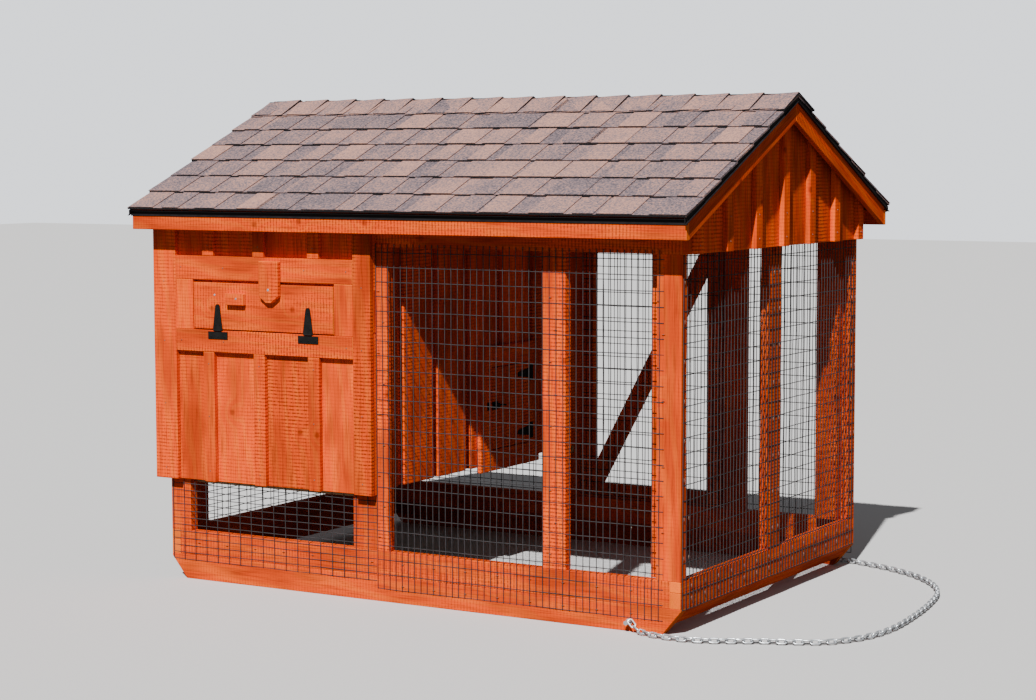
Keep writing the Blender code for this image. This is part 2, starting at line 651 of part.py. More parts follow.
def build_chain():
    """The tow chain, as a tube of its outer width, and the bolts that hold it to the skids."""
    curve = bpy.data.curves.new("tow_chain", "CURVE")
    curve.dimensions = "3D"
    curve.bevel_depth = CHAIN_RADIUS
    curve.bevel_resolution = 2
    curve.use_fill_caps = True
    points = smooth_route(CHAIN_ROUTE, CHAIN_STEP)
    spline = curve.splines.new("POLY")
    spline.points.add(len(points) - 1)
    for target, point in zip(spline.points, points):
        target.co = (*point, 1)
    place("tow_chain", mesh_of_curve(curve, Matrix()), "galvanised_steel")
    x, z = CHAIN_BOLT
    for side, face, out in (("front", FRONT, -1), ("rear", REAR, 1)):
        start = face + out * GAP / INCH
        washer = cylinder_mesh(0.45 * INCH, Vector((x, start, z)) * INCH, Vector((x, start + out * 0.1, z)) * INCH, 24)
        bolt = place(f"{side}_chain_bolt", washer, "galvanised_steel")
        shank = cylinder_mesh(
            0.16 * INCH, Vector((x, start + out * 0.05, z)) * INCH, Vector((x, start + out * 0.95, z)) * INCH
        )
        head = cylinder_mesh(
            0.32 * INCH, Vector((x, start + out * 0.8, z)) * INCH, Vector((x, start + out * 1.05, z)) * INCH, 6
        )
        boolean(bolt, place(f"{side}_shank_shape", shank, None), "UNION")
        boolean(bolt, place(f"{side}_head_shape", head, None), "UNION")


def roof_cutter():
    """Everything above the rafters' top, which trims the walls that reach the roof."""
    reach = 40.0
    shape = [
        (-reach, roof_line(RAFTER_RIDGE, reach)), (0, RAFTER_RIDGE), (reach, roof_line(RAFTER_RIDGE, reach)),
        (reach, 80.0), (-reach, 80.0),
    ]
    return outline("above_rafters", "YZ", [shape], -50.0, 50.0, None, inset=-HALF_GAP)


clear_scene()
COOP = new_collection("chicken_coop")
CUTTERS = new_collection("cutters")
CUTS = {"above_rafters": roof_cutter()}
build_base()
build_posts()
build_roof_frame()
build_roof()
build_house()
build_inside()
build_egg_door()
build_pop_door()
build_access_door()
build_mesh()
build_chain()
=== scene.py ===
# %% [markdown]
# # A chicken coop on skids
#
# The coop is a hen house and a wire run under one roof. It is carpentry: sawn boards and
# two-by-fours, nailed together, stained orange-brown, with welded wire over the openings and
# asphalt shingles on top. A chain at one end drags it to fresh grass.
#
# This script dresses that model: it puts real boards, wires, shingles and links where the
# CAD has plain solids. The CAD is read first, because everything that follows takes its
# place from it.

# %% Load the frame
import json
import math
import random

import bmesh
import bpy
from mathutils import Matrix, Vector

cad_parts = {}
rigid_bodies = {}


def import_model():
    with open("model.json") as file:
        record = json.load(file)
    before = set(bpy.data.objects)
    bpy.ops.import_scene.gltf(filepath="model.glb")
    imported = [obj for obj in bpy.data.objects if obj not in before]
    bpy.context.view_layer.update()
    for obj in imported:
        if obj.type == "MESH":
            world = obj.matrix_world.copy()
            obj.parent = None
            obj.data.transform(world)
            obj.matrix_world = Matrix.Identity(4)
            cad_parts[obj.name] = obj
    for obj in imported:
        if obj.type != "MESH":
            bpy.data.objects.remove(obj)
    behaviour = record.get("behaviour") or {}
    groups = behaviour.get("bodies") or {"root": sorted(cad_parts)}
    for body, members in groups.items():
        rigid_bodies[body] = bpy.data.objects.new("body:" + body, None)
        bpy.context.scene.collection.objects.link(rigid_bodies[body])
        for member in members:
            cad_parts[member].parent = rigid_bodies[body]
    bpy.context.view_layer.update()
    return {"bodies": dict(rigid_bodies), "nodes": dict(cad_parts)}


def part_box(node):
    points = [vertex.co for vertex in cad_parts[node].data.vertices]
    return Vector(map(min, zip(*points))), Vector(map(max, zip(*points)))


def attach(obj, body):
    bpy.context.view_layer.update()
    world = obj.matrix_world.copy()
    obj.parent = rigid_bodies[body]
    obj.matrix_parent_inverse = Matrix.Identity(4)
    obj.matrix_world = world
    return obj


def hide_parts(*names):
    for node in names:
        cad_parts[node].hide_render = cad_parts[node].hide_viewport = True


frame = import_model()
INCH = 0.0254

# %% [markdown]
# ## The camera
#
# The coop is seen from the front right, a little above its eaves. A longer lens than the usual
# one keeps its upright posts nearly parallel.

# %% Camera
CAMERA_PLACE = (4.1988, -7.1142, 1.5614)
CAMERA_TURN = (84.914, 0.1, 30.51)
LENS = 77.87


def into_scene(name, data):
    obj = bpy.data.objects.new(name, data)
    bpy.context.scene.collection.objects.link(obj)
    return obj


view = bpy.data.cameras.new("view")
view.lens = LENS
view.sensor_width = 36
camera = into_scene("view", view)
camera.location = CAMERA_PLACE
camera.rotation_euler = [math.radians(angle) for angle in CAMERA_TURN]
bpy.context.scene.camera = camera
print("camera", round(camera.location.length, 2), "m from the coop")

# %% [markdown]
# ## Helpers for node trees
#
# Materials and Geometry Nodes are both trees of nodes. One class keeps their code readable: it
# adds a node, fills in its inputs and hands back an output, ready for the next node. A tree
# with named inputs and outputs is a group, which can be used again with other values.

# %% Node helpers
SOCKETS = {float: "Float", int: "Int", tuple: "Color"}
ANY_COLOUR = (0.5, 0.5, 0.5, 1)


class Tree:
    """A node tree that is being built. Each method adds a node and returns an output."""

    def __init__(self, tree):
        self.tree = tree

    def put(self, socket, value):
        """Sets a socket to a plain value, or links another node's output to it."""
        if isinstance(value, bpy.types.NodeSocket):
            self.tree.links.new(value, socket)
        else:
            socket.default_value = value

    def outputs(self, kind, inputs, **settings):
        """Adds a node and returns all its outputs. Settings come before the inputs."""
        made = self.tree.nodes.new(kind)
        for name, value in settings.items():
            setattr(made, name, value)
        for key, value in inputs.items():
            self.put(made.inputs[key], value)
        return made.outputs

    def node(self, kind, inputs, out=0, **settings):
        return self.outputs(kind, inputs, **settings)[out]

    def math(self, operation, *values):
        return self.node("ShaderNodeMath", dict(enumerate(values)), operation=operation)

    def times(self, a, b):
        return self.math("MULTIPLY", a, b)

    def plus(self, a, b):
        return self.math("ADD", a, b)

    def minus(self, a, b):
        return self.math("SUBTRACT", a, b)

    def over(self, a, b):
        return self.math("DIVIDE", a, b)

    def vector(self, operation, a, b):
        key = "Scale" if operation == "SCALE" else 1
        return self.node("ShaderNodeVectorMath", {0: a, key: b}, operation=operation)

    def combine(self, x=0.0, y=0.0, z=0.0):
        return self.node("ShaderNodeCombineXYZ", {"X": x, "Y": y, "Z": z})

    def apart(self, vector):
        return self.outputs("ShaderNodeSeparateXYZ", {0: vector})

    def fade(self, value, start, end, low=0.0, high=1.0):
        """Turns a value into a smooth step from low, at start, to high, at end."""
        ends = {"From Min": start, "From Max": end, "To Min": low, "To Max": high}
        return self.node("ShaderNodeMapRange", {"Value": value, **ends}, interpolation_type="SMOOTHSTEP")

    def noise(self, vector, scale, detail, out="Fac", **more):
        inputs = {"Vector": vector, "Scale": scale, "Detail": detail, **more}
        return self.node("ShaderNodeTexNoise", inputs, out)

    def mix(self, amount, first, second, how="MIX"):
        """Blends two colours."""
        colours = {0: amount, 6: first, 7: second}
        return self.node("ShaderNodeMix", colours, 2, data_type="RGBA", blend_type=how)


def new_group(name, kind, inputs, outputs):
    """A node group. Each socket is given by its first value, or by the name of its kind."""
    group = bpy.data.node_groups.new(name, kind)
    for way, sockets in (("INPUT", inputs), ("OUTPUT", outputs)):
        for title, value in sockets.items():
            named = isinstance(value, str)
            socket = "NodeSocket" + (value if named else SOCKETS[type(value)])
            made = group.interface.new_socket(title, in_out=way, socket_type=socket)
            if not named:
                made.default_value = value
    tree = Tree(group)
    tree.given = group.nodes.new("NodeGroupInput").outputs
    tree.out = group.nodes.new("NodeGroupOutput").inputs
    return tree


class Material(Tree):
    """A material that is being built, with the Principled shader already in it."""

    def __init__(self, name):
        self.made = bpy.data.materials.new(name)
        self.made.use_nodes = True
        super().__init__(self.made.node_tree)
        self.shader = self.tree.nodes["Principled BSDF"].inputs

    def attribute(self, name, out="Fac"):
        return self.node("ShaderNodeAttribute", {}, out, attribute_name=name)

    def place(self, out="Object"):
        return self.node("ShaderNodeTexCoord", {}, out)

    def surface(self, colour, roughness, height, depth, strength, gloss, metallic=0.0):
        """Links what varies over the surface. What doesn't is set on the shader itself."""
        relief = {"Height": height, "Distance": depth, "Strength": strength}
        values = {
            "Base Color": colour, "Roughness": roughness, "Metallic": metallic,
            "Normal": self.node("ShaderNodeBump", relief), "Specular IOR Level": gloss,
        }
        for name, value in values.items():
            self.put(self.shader[name], value)
        return self.made


SURFACE = {"Color": "Color", "Roughness": "Float", "Height": "Float"}
print("helpers ready")

# %% [markdown]
# ## Rough-sawn, stained wood
#
# Boards straight from the sawmill keep the marks of its blade: shallow ribs across the grain.
# Stain sinks in unevenly, so the figure of the wood, its knots and its ends all take it
# differently. An image could show one board, but this coop has over a hundred. A shader group
# that works from coordinates gives every board its own pattern.
#
# The group expects the grain to run along Z. Every board that this script makes carries that
# coordinate as an attribute, shifted at random, so no two boards are cut from the same log.
# The figure bends round each knot. The ribs come and go, and some boards have more of them.


# %% Shader group: sawn wood
def sawn_wood_group():
    colours = {"Stain": ANY_COLOUR, "Dark": ANY_COLOUR, "Pale": ANY_COLOUR}
    inputs = {"Grain": "Vector", "Tone": 0.5, "End": 0.0, **colours, "Ribs": 1.0, "Knots": 1.0}
    tree = new_group("Sawn wood", "ShaderNodeTree", inputs, SURFACE)
    times, fade, given = tree.times, tree.fade, tree.given
    grain = given["Grain"]
    x, y, z = tree.apart(grain)

    def stretched(*factors, detail, **more):
        return tree.noise(tree.vector("MULTIPLY", grain, factors), 1.0, detail, **more)

    cells = {"Vector": tree.combine(tree.plus(x, y), z), "Scale": 5.2, "Randomness": 0.9}
    cells = tree.outputs("ShaderNodeTexVoronoi", cells, voronoi_dimensions="2D")
    rare = fade(tree.node("ShaderNodeSeparateColor", {0: cells["Color"]}), 0.24, 0.2)
    knot = times(times(fade(cells["Distance"], 0.085, 0.02), rare), given["Knots"])
    swerve = times(times(fade(cells["Distance"], 0.34, 0.05), rare), 0.05)
    bent = tree.combine(tree.plus(x, swerve), y, times(z, 0.11))
    figure = tree.node(
        "ShaderNodeTexWave",
        {"Vector": bent, "Scale": 11.0, "Distortion": 7.0, "Detail": 3.0, "Detail Scale": 1.6}, "Fac",
        bands_direction="DIAGONAL",
    )
    fibre = stretched(230.0, 230.0, 7.0, detail=4.0, Roughness=0.65)
    blotch = stretched(9.0, 9.0, 3.0, detail=2.0)
    chatter = stretched(160.0, 160.0, 60.0, detail=2.0)
    ribs = tree.node(
        "ShaderNodeTexWave",
        {"Vector": grain, "Scale": 25.0, "Distortion": 1.5, "Detail": 2.0, "Detail Scale": 0.8}, "Fac",
        bands_direction="Z",
    )
    ribs = fade(ribs, 0.35, 0.95)
    board = tree.math("FRACT", times(given["Tone"], 7.3))
    for patches in (
        fade(blotch, 0.35, 0.62, 0.25, 1.0), fade(chatter, 0.35, 0.6, 0.35, 1.0),
        fade(board, 0.0, 1.0, 0.35, 1.25), given["Ribs"],
    ):
        ribs = times(ribs, patches)
    colour = given["Stain"]
    for amount, other in (
        (fade(figure, 0.3, 1.0, 0.0, 0.3), "Pale"), (fade(fibre, 0.56, 0.32, 0.0, 0.5), "Dark"),
        (fade(blotch, 0.6, 0.3, 0.0, 0.5), "Dark"), (times(ribs, 0.62), "Dark"),
        (times(knot, 0.6), "Dark"), (times(given["End"], 0.55), "Pale"),
    ):
        colour = tree.mix(amount, colour, given[other])
    shade = fade(given["Tone"], 0.0, 1.0, 0.84, 1.12)
    grey = tree.node("ShaderNodeCombineColor", {0: shade, 1: shade, 2: shade})
    tree.put(tree.out["Color"], tree.mix(1.0, colour, grey, "MULTIPLY"))
    tree.put(tree.out["Roughness"], fade(fibre, 0.3, 0.7, 0.85, 0.6))
    relief = tree.plus(times(ribs, 0.6), times(fibre, 0.45))
    tree.put(tree.out["Height"], tree.minus(relief, times(knot, 0.3)))
    return tree.tree


SAWN_WOOD = sawn_wood_group()
STAIN = {"Stain": (0.88, 0.08, 0.002, 1), "Dark": (0.13, 0.009, 0.003, 1), "Pale": (0.97, 0.19, 0.01, 1)}
PLY = {"Stain": (0.5, 0.34, 0.19, 1), "Dark": (0.3, 0.18, 0.09, 1), "Pale": (0.66, 0.5, 0.32, 1)}
TURN_TO_Z = {"X": (0, math.pi / 2, 0), "Y": (math.pi / 2, 0, 0)}


def wood_material(name, colours, along=None, ribs=1.0, knots=1.0, depth=0.0012):
    """Sawn wood. Along is the axis of the grain for a CAD node, or None for a board of ours."""
    wood = Material(name)
    if along is None:
        grain, tone, end = wood.attribute("grain", "Vector"), wood.attribute("tone"), wood.attribute("end")
    else:
        grain = wood.node("ShaderNodeMapping", {"Vector": wood.place(), "Rotation": TURN_TO_Z[along]})
        tone, end = 0.45, 0.0
    values = {"Grain": grain, "Tone": tone, "End": end, "Ribs": ribs, "Knots": knots, **colours}
    look = wood.outputs("ShaderNodeGroup", values, node_tree=SAWN_WOOD)
    return wood.surface(*look, depth, 0.8, gloss=0.1)


BOARDS = wood_material("stained boards", STAIN)
BARE_PLY = wood_material("plywood", PLY, "Y", ribs=0.0, knots=0.5, depth=0.0004)
print("wood group with", len(SAWN_WOOD.nodes), "nodes")

# %% [markdown]
# ## Metals
#
# Three metals meet on the coop: galvanised chain and screws, weathered wire, and steel with a
# black coat. Zinc crystals give galvanised steel its patches, and weather dulls them. One small
# group makes the patchy variation, and each metal gives it its own colours.


# %% Shader group: patchy metal, and the metals
def patchy_metal_group():
    inputs = {"Light": ANY_COLOUR, "Dull": ANY_COLOUR, "Scale": 200.0, "Smooth": 0.3, "Rough": 0.6}
    tree = new_group("Patchy metal", "ShaderNodeTree", inputs, SURFACE)
    given = tree.given
    place = tree.node("ShaderNodeTexCoord", {}, "Object")
    crystals = tree.node("ShaderNodeTexVoronoi", {"Vector": place, "Scale": given["Scale"]}, "Color")
    patch = tree.node("ShaderNodeSeparateColor", {0: crystals})
    grime = tree.noise(place, 35.0, 4.0)
    dull = tree.plus(tree.times(patch, 0.4), tree.fade(grime, 0.4, 0.7, 0.0, 0.6))
    tree.put(tree.out["Color"], tree.mix(dull, given["Light"], given["Dull"]))
    ends = {"Value": dull, "To Min": given["Smooth"], "To Max": given["Rough"]}
    tree.put(tree.out["Roughness"], tree.node("ShaderNodeMapRange", ends))
    tree.put(tree.out["Height"], tree.plus(tree.noise(place, 900.0, 2.0), tree.times(patch, 0.5)))
    return tree.tree


PATCHY_METAL = patchy_metal_group()


def metal(name, metallic, light, dull, smooth, rough, scale=200.0, gloss=0.5):
    coat = Material(name)
    values = {"Light": (*light, 1), "Dull": (*dull, 1), "Smooth": smooth, "Rough": rough, "Scale": scale}
    look = coat.outputs("ShaderNodeGroup", values, node_tree=PATCHY_METAL)
    return coat.surface(*look, 0.0001, 0.6, gloss, metallic)


ZINC = metal("galvanised steel", 0.75, (0.86, 0.89, 0.92), (0.42, 0.44, 0.46), 0.28, 0.5)
NAIL = metal("old nail heads", 0.5, (0.3, 0.2, 0.15), (0.12, 0.06, 0.04), 0.5, 0.8)
WIRE = metal("weathered wire", 0.25, (0.055, 0.052, 0.055), (0.018, 0.016, 0.016), 0.5, 0.8)
BLACK = metal(
    "black coated steel", 0.0, (0.003, 0.003, 0.003), (0.009, 0.008, 0.007), 0.6, 0.85, 500.0, 0.2
)
DRIP = metal("black drip edge", 0.0, (0.005, 0.004, 0.005), (0.011, 0.008, 0.009), 0.6, 0.8, 60.0, 0.25)
print("the metals' finishes are ready")

# %% [markdown]
# ## Shingles
#
# An asphalt shingle is felt with crushed stone pressed into it. Close up it is all coloured
# grains; from further off each tab has its own mixed tone. The material mixes both scales: a
# tone that every tab carries as an attribute, and grains from a fine cell pattern. The edges,
# which face sideways, are painted nearly black. This is partly the dark asphalt of a cut edge and
# partly painted shadow for the thin line of shade under each course.

# %% Shingle material
GRAIN_TONES = (
    (0.35, (0.17, 0.13, 0.14, 1)), (0.55, (0.25, 0.165, 0.165, 1)), (0.78, (0.36, 0.185, 0.14, 1))
)


def shingle_material(name, dark_sides):
    felt = Material(name)
    fade, plus = felt.fade, felt.plus
    place = felt.place()
    grains = felt.node("ShaderNodeTexVoronoi", {"Vector": place, "Scale": 520.0}, "Color")
    light, bump, rough = felt.outputs("ShaderNodeSeparateColor", {0: grains})
    cloud = felt.noise(place, 9.0, 3.0)
    mixed = felt.attribute("tone")
    for value, start, end, reach in (
        (cloud, 0.3, 0.7, 0.1), (felt.noise(place, 130.0, 3.0), 0.32, 0.68, 0.32), (light, 0.0, 1.0, 0.2)
    ):
        mixed = plus(mixed, fade(value, start, end, -reach, reach))
    ramp = felt.node("ShaderNodeValToRGB", {"Fac": mixed})
    stops = ramp.node.color_ramp.elements
    stops[0].color, stops[1].color = (0.08, 0.065, 0.075, 1), (0.46, 0.25, 0.19, 1)
    for position, colour in GRAIN_TONES:
        stops.new(position).color = colour
    facing = felt.apart(felt.place("Normal"))
    # Faces that look sideways are mixed to near-black. This is partly the dark asphalt of a cut edge and
    # partly painted shadow standing for the shade line below each course's step.
    dark_edge_and_painted_shadow = fade(facing["Z"], 0.7, 0.5)
    # The roof's shingles keep this painted shadow off the faces at the roof's ends. The ridge caps put it
    # on every sideways face, including their butts.
    if not dark_sides:
        dark_edge_and_painted_shadow = felt.times(dark_edge_and_painted_shadow, fade(felt.math("ABSOLUTE", facing["X"]), 0.6, 0.4))
    colour = felt.mix(dark_edge_and_painted_shadow, ramp, (0.012, 0.01, 0.011, 1))
    height = plus(bump, felt.times(cloud, 0.8))
    return felt.surface(colour, fade(rough, 0.0, 1.0, 0.8, 1.0), height, 0.001, 0.7, gloss=0.25)


SHINGLE = shingle_material("mineral shingles", False)
# The ridge caps take the painted shadow on every sideways face, so the butt of each cap shows as a dark
# line.
RIDGE_SHINGLE = shingle_material("mineral ridge shingles", True)
print("shingle material")

# %% [markdown]
# ## Making pieces
#
# Each finished piece is one plain mesh that rides on a CAD body, so that it moves when a door
# opens. Boards are all made by one helper: a block, cut by planes where the real board was
# sawn at an angle, with its edges eased. The helper writes three attributes: the grain
# coordinate, a tone for the whole board, and a mark on its sawn ends, where stain and light
# behave differently.

# %% Board and piece helpers
chance = random.Random(11)
GRAIN_ORDER = {"X": (1, 2, 0), "Y": (2, 0, 1), "Z": (0, 1, 2)}
UNTURNED = Matrix()


def as_piece(name, mesh, body, slot, replaced=()):
    """Puts a mesh in the scene as a piece that rides on a body."""
    mesh.name = name
    obj = into_scene(name, mesh)
    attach(obj, body)
    if replaced:
        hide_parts(*replaced)
    print(f"{name}: {len(mesh.polygons)} faces")
    return obj


class Stack:
    """Boards that belong to one piece, gathered before the mesh is made."""

    def __init__(self):
        self.points, self.faces, self.grain, self.tone, self.end = [], [], [], [], []

    def plank(self, low, high, grain, cuts=(), turn=UNTURNED, ease=0.05, tone=None):
        """Adds a board between two corners, in inches. A cut is a point and the way to the waste.

        The corners are those of the board before its turn. The cuts are where they are after it.
        """
        low, high = (Vector(ends) * INCH for ends in zip(*map(sorted, zip(low, high))))
        block = bmesh.new()
        bmesh.ops.create_cube(block, size=1.0)
        bmesh.ops.scale(block, vec=high - low, verts=block.verts)
        bmesh.ops.translate(block, vec=(low + high) / 2, verts=block.verts)
        back = turn.inverted()
        for point, waste in cuts:
            place, way = back @ (Vector(point) * INCH), back.to_3x3() @ Vector(waste)
            every = block.verts[:] + block.edges[:] + block.faces[:]
            cut = bmesh.ops.bisect_plane(block, geom=every, plane_co=place, plane_no=way, clear_outer=True)
            rim = [part for part in cut["geom_cut"] if isinstance(part, bmesh.types.BMEdge)]
            if rim:
                bmesh.ops.contextual_create(block, geom=rim)
        bmesh.ops.recalc_face_normals(block, faces=block.faces)
        bmesh.ops.bevel(block, geom=block.edges[:], offset=ease * INCH, segments=1, affect="EDGES")
        block.normal_update()
        self.add(block, GRAIN_ORDER[grain], turn, chance.random() if tone is None else tone)
        block.free()
        return self

    def add(self, block, order, turn, tone):
        """Keeps a block's faces, with its attributes. Order puts the grain's axis last."""
        first = len(self.points)
        shift = [chance.uniform(-9, 9) for _ in range(3)]
        block.verts.ensure_lookup_table()
        for corner in block.verts:
            self.points.append(turn @ corner.co)
            self.grain += [corner.co[order[i]] + shift[i] for i in range(3)]
            self.tone.append(tone)
        for face in block.faces:
            self.faces.append([first + corner.index for corner in face.verts])
            self.end.append(1.0 if abs(face.normal[order[2]]) > 0.6 else 0.0)

    def piece(self, name, *replaced, body="coop", finish=BOARDS, slot="stained_wood"):
        """Makes the gathered boards one mesh, which stands for the replaced CAD nodes."""
        mesh = bpy.data.meshes.new(name)
        mesh.from_pydata(self.points, [], self.faces)
        for title, kind, domain, key, values in (
            ("grain", "FLOAT_VECTOR", "POINT", "vector", self.grain),
            ("tone", "FLOAT", "POINT", "value", self.tone),
            ("end", "FLOAT", "FACE", "value", self.end),
        ):
            mesh.attributes.new(title, kind, domain).data.foreach_set(key, values)
        mesh.materials.append(finish)
        as_piece(name, mesh, body, slot, replaced)


def inches(cad_node):
    """The lowest and highest corner of a CAD node, in inches."""
    low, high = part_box(cad_node)
    return list(low / INCH), list(high / INCH)


def timber(name, cad_node, grain, cuts=()):
    """A piece of the coop that is one board, of the size of its CAD node."""
    Stack().plank(*inches(cad_node), grain, cuts).piece(name, cad_node)


print("board helpers ready")

# %% [markdown]
# ## The frame under and around the coop
#
# Skids, rails, posts and plates are all two-by-fours, so each is one plank whose box comes from
# the CAD. The corner posts are two studs each. The skids and the lowest boards between them
# share the slanted cut that lets the coop slide like a sledge.

# %% Skids, rails, posts and plates
SLED_RISE, SLED_RUN = 3.15, 2.6
STUD, BROAD = 1.5, 3.5
CRACK = 0.01
half_length = inches("front_skid")[1][0]
sled_cuts = [
    ((side * half_length, 0, SLED_RISE), (side * SLED_RISE, 0, -SLED_RUN)) for side in (-1, 1)
]
for side in ("front", "rear"):
    timber(f"{side}_skid_timber", f"{side}_skid", "X", sled_cuts)
    timber(f"{side}_rail_timber", f"{side}_rail", "X")
    timber(f"{side}_plate_timber", f"{side}_top_plate", "X")

UPPER_JOINT, LOWER_JOINT, LOWEST = 5.6, 3.5, 0.6
for side in ("left", "right"):
    (x, front, _), high = inches(f"{side}_end_beam")
    between_skids = high[1] - STUD - CRACK
    beam = Stack().plank((x, front, UPPER_JOINT), high, "Y")
    beam.plank((x, front, LOWER_JOINT), (*high[:2], UPPER_JOINT - 0.03), "Y")
    top = (high[0], between_skids, LOWER_JOINT - CRACK)
    beam.plank((x, -between_skids, LOWEST), top, "Y", sled_cuts)
    beam.piece(f"{side}_end_timber", f"{side}_end_beam")

for name in ("front_middle_post", "rear_hinge_post", "rear_latch_post", "right_end_post"):
    timber(f"{name}_stud", name, "Z")

# %% The posts that are two studs
JUNCTION = -5.26
low, high = inches("front_junction_post")
post = Stack().plank(low, (JUNCTION - CRACK, *high[1:]), "Z")
post.plank((JUNCTION + CRACK, *low[1:]), high, "Z")
post.piece("front_junction_studs", "front_junction_post")
for side, out in (("front", -1), ("rear", 1)):
    low, high = inches(f"{side}_left_post")
    face, deep = (low[1], high[1]) if out < 0 else (high[1], low[1])
    behind = face - out * STUD
    post = Stack().plank((low[0], face, low[2]), (low[0] + BROAD, behind, high[2]), "Z")
    post.plank((low[0], behind - out * CRACK, low[2]), (low[0] + STUD, deep, high[2]), "Z")
    post.piece(f"{side}_left_studs", f"{side}_left_post")
    low, high = inches(f"{side}_right_post")
    post = Stack().plank((high[0] - BROAD, face, low[2]), (high[0], behind, high[2]), "Z")
    inner = (high[0] - STUD - CRACK, behind - out * STUD, high[2])
    post.plank((low[0], behind - out * CRACK, low[2]), inner, "Z")
    post.piece(f"{side}_right_studs", f"{side}_right_post")

# %% [markdown]
# ## Board-and-batten walls
#
# Wide boards stand side by side, and a narrow batten covers each joint, so the boards can shrink
# and swell with the weather. The same rule makes every wall: joints at given places, boards
# between them with a small gap, battens over them. The wall under the gable and the left wall
# run up to the roof, so their boards are cut along its slope.

# %% Walls under the gables
BOARD, BATTEN, JOINT = 0.75, 1.9, 0.12
ROOF_SLOPE = 5.5 / 12
ROOF_UNDERSIDE, OVER_ROOF = 67.98, 69
roof_cuts = [((0, 0, ROOF_UNDERSIDE), (0, side * ROOF_SLOPE, 1)) for side in (-1, 1)]


def upright(stack, a, b, near, far, bottom, top, along_x=True, cuts=()):
    """A standing board from a to b along its wall and from near to far through it."""
    corners = ((a, near, bottom), (b, far, top)) if along_x else ((near, a, bottom), (far, b, top))
    stack.plank(*corners, "Z", cuts)


def wall(stack, face, out, joints, battens, *heights, **more):
    """Boards between the joints, and battens in front of them. Numbers are in inches."""
    for a, b in zip(joints, joints[1:]):
        upright(stack, a + JOINT / 2, b - JOINT / 2, face, face + out * BOARD, *heights, **more)
    outside = (face + out * (BOARD + CRACK), face + out * 2 * BOARD)
    for middle in battens:
        upright(stack, middle - BATTEN / 2, middle + BATTEN / 2, *outside, *heights, **more)


BATTEN_STEP = 8.9
frame_front = inches("front_skid")[0][1]
frame_rear = -frame_front
gable_battens = [n * BATTEN_STEP for n in range(-3, 4)]
for name, cad_node, out, battens in (
    ("right_gable_boards", "right_gable_siding", 1, gable_battens),
    ("left_wall_boards", "house_left_siding", -1, gable_battens[1:-1]),
):
    boards = Stack()
    joints = [frame_front, *gable_battens, frame_rear]
    heights = inches(cad_node)[0][2], OVER_ROOF
    wall(boards, out * half_length, out, joints, battens, *heights, along_x=False, cuts=roof_cuts)
    boards.piece(name, cad_node)

# %% Front and rear walls of the house
FRONT_BATTENS = (-32.7, -23.85, -14.55)
EGG_HOLE = ((-34.9, 36.9), (-11.5, 42.8))
EGG_FRAME_BOTTOM, EGG_FRAME_TOP = 33.2, 46.75
TRIM_LEFT, TRIM_RIGHT = -38.52, -7.93
REAR_TRIM, UNDER_EAVE = 2.88, 0.1
for side, out in (("front", -1), ("rear", 1)):
    face = out * frame_rear
    (left, _, bottom), (right, _, top) = inches(f"house_{side}_siding")
    joints = [-half_length - BOARD, *FRONT_BATTENS, right]
    outside = (face + out * (BOARD + CRACK), face + out * 2 * BOARD)
    boards = Stack()
    if side == "rear":
        wall(boards, face, out, joints, FRONT_BATTENS, bottom, top)
        trim = right - REAR_TRIM
    else:
        (hole_left, hole_low), (hole_right, hole_high) = EGG_HOLE
        wall(boards, face, out, joints, (), bottom, hole_low)
        wall(boards, face, out, joints, (), hole_high, top)
        for a, b in ((joints[0], hole_left), (hole_right, right)):
            upright(boards, a, b, face, face + out * BOARD, hole_low + 0.02, hole_high - 0.02)
        spans = ((bottom, EGG_FRAME_BOTTOM - 0.04), (EGG_FRAME_TOP + 0.04, top - UNDER_EAVE))
        for middle in FRONT_BATTENS:
            for span in spans:
                upright(boards, middle - BATTEN / 2, middle + BATTEN / 2, *outside, *span)
        trim = TRIM_RIGHT
    upright(boards, left, TRIM_LEFT, *outside, bottom, top - UNDER_EAVE)
    upright(boards, trim, right, *outside, bottom, top - UNDER_EAVE)
    inside = (face - out * 2.5, face + out * (BOARD - CRACK))
    upright(boards, left, left + 0.7, *inside, bottom, top - 0.2)
    boards.piece(f"house_{side}_boards", f"house_{side}_siding")

# %% [markdown]
# ## Partition, pop door and access door
#
# The wall between house and run is the same kind of wall with its battens behind, so from the
# run it shows deep, narrow grooves. Its small door and the tall rear door are framed by hand:
# boards for the pop door, and stiles, rails and a brace for the rear one.

# %% Partition and pop door
GROOVE = 1.6
GROOVES = (-24.5, -15.7, -6.95, 1.9, 10.8, 19.6)
POP_HOLE = ((-1.2, 18.2), (8.6, 29.5))
low, high = inches("partition_siding")
(hole_near, hole_low), (hole_far, hole_high) = POP_HOLE
partition = Stack()


def round_the_hole(near_x, far_x, a, b):
    """One upright board of the partition, in parts where it meets the pop hole."""
    spans = [(a, b, low[2], high[2])]
    if a < hole_far and b > hole_near:
        spans = [(a, b, low[2], hole_low), (a, b, hole_high, high[2])]
        if a < hole_near:
            spans.append((a, hole_near, hole_low + CRACK, hole_high - CRACK))
        if b > hole_far:
            spans.append((hole_far, b, hole_low + CRACK, hole_high - CRACK))
    for start, end, *heights in spans:
        upright(partition, start, end, near_x, far_x, *heights, along_x=False, cuts=roof_cuts)


edges = [low[1], *(groove + side * GROOVE / 2 for groove in GROOVES for side in (-1, 1)), high[1]]
for a, b in zip(edges[::2], edges[1::2]):
    round_the_hole(high[0] - BOARD, high[0], a, b)
joints = [low[1], *GROOVES[1::2], high[1]]
for a, b in zip(joints, joints[1:]):
    round_the_hole(low[0], high[0] - BOARD - CRACK, a + 0.05, b - 0.05)
partition.piece("partition_boards", "partition_siding")

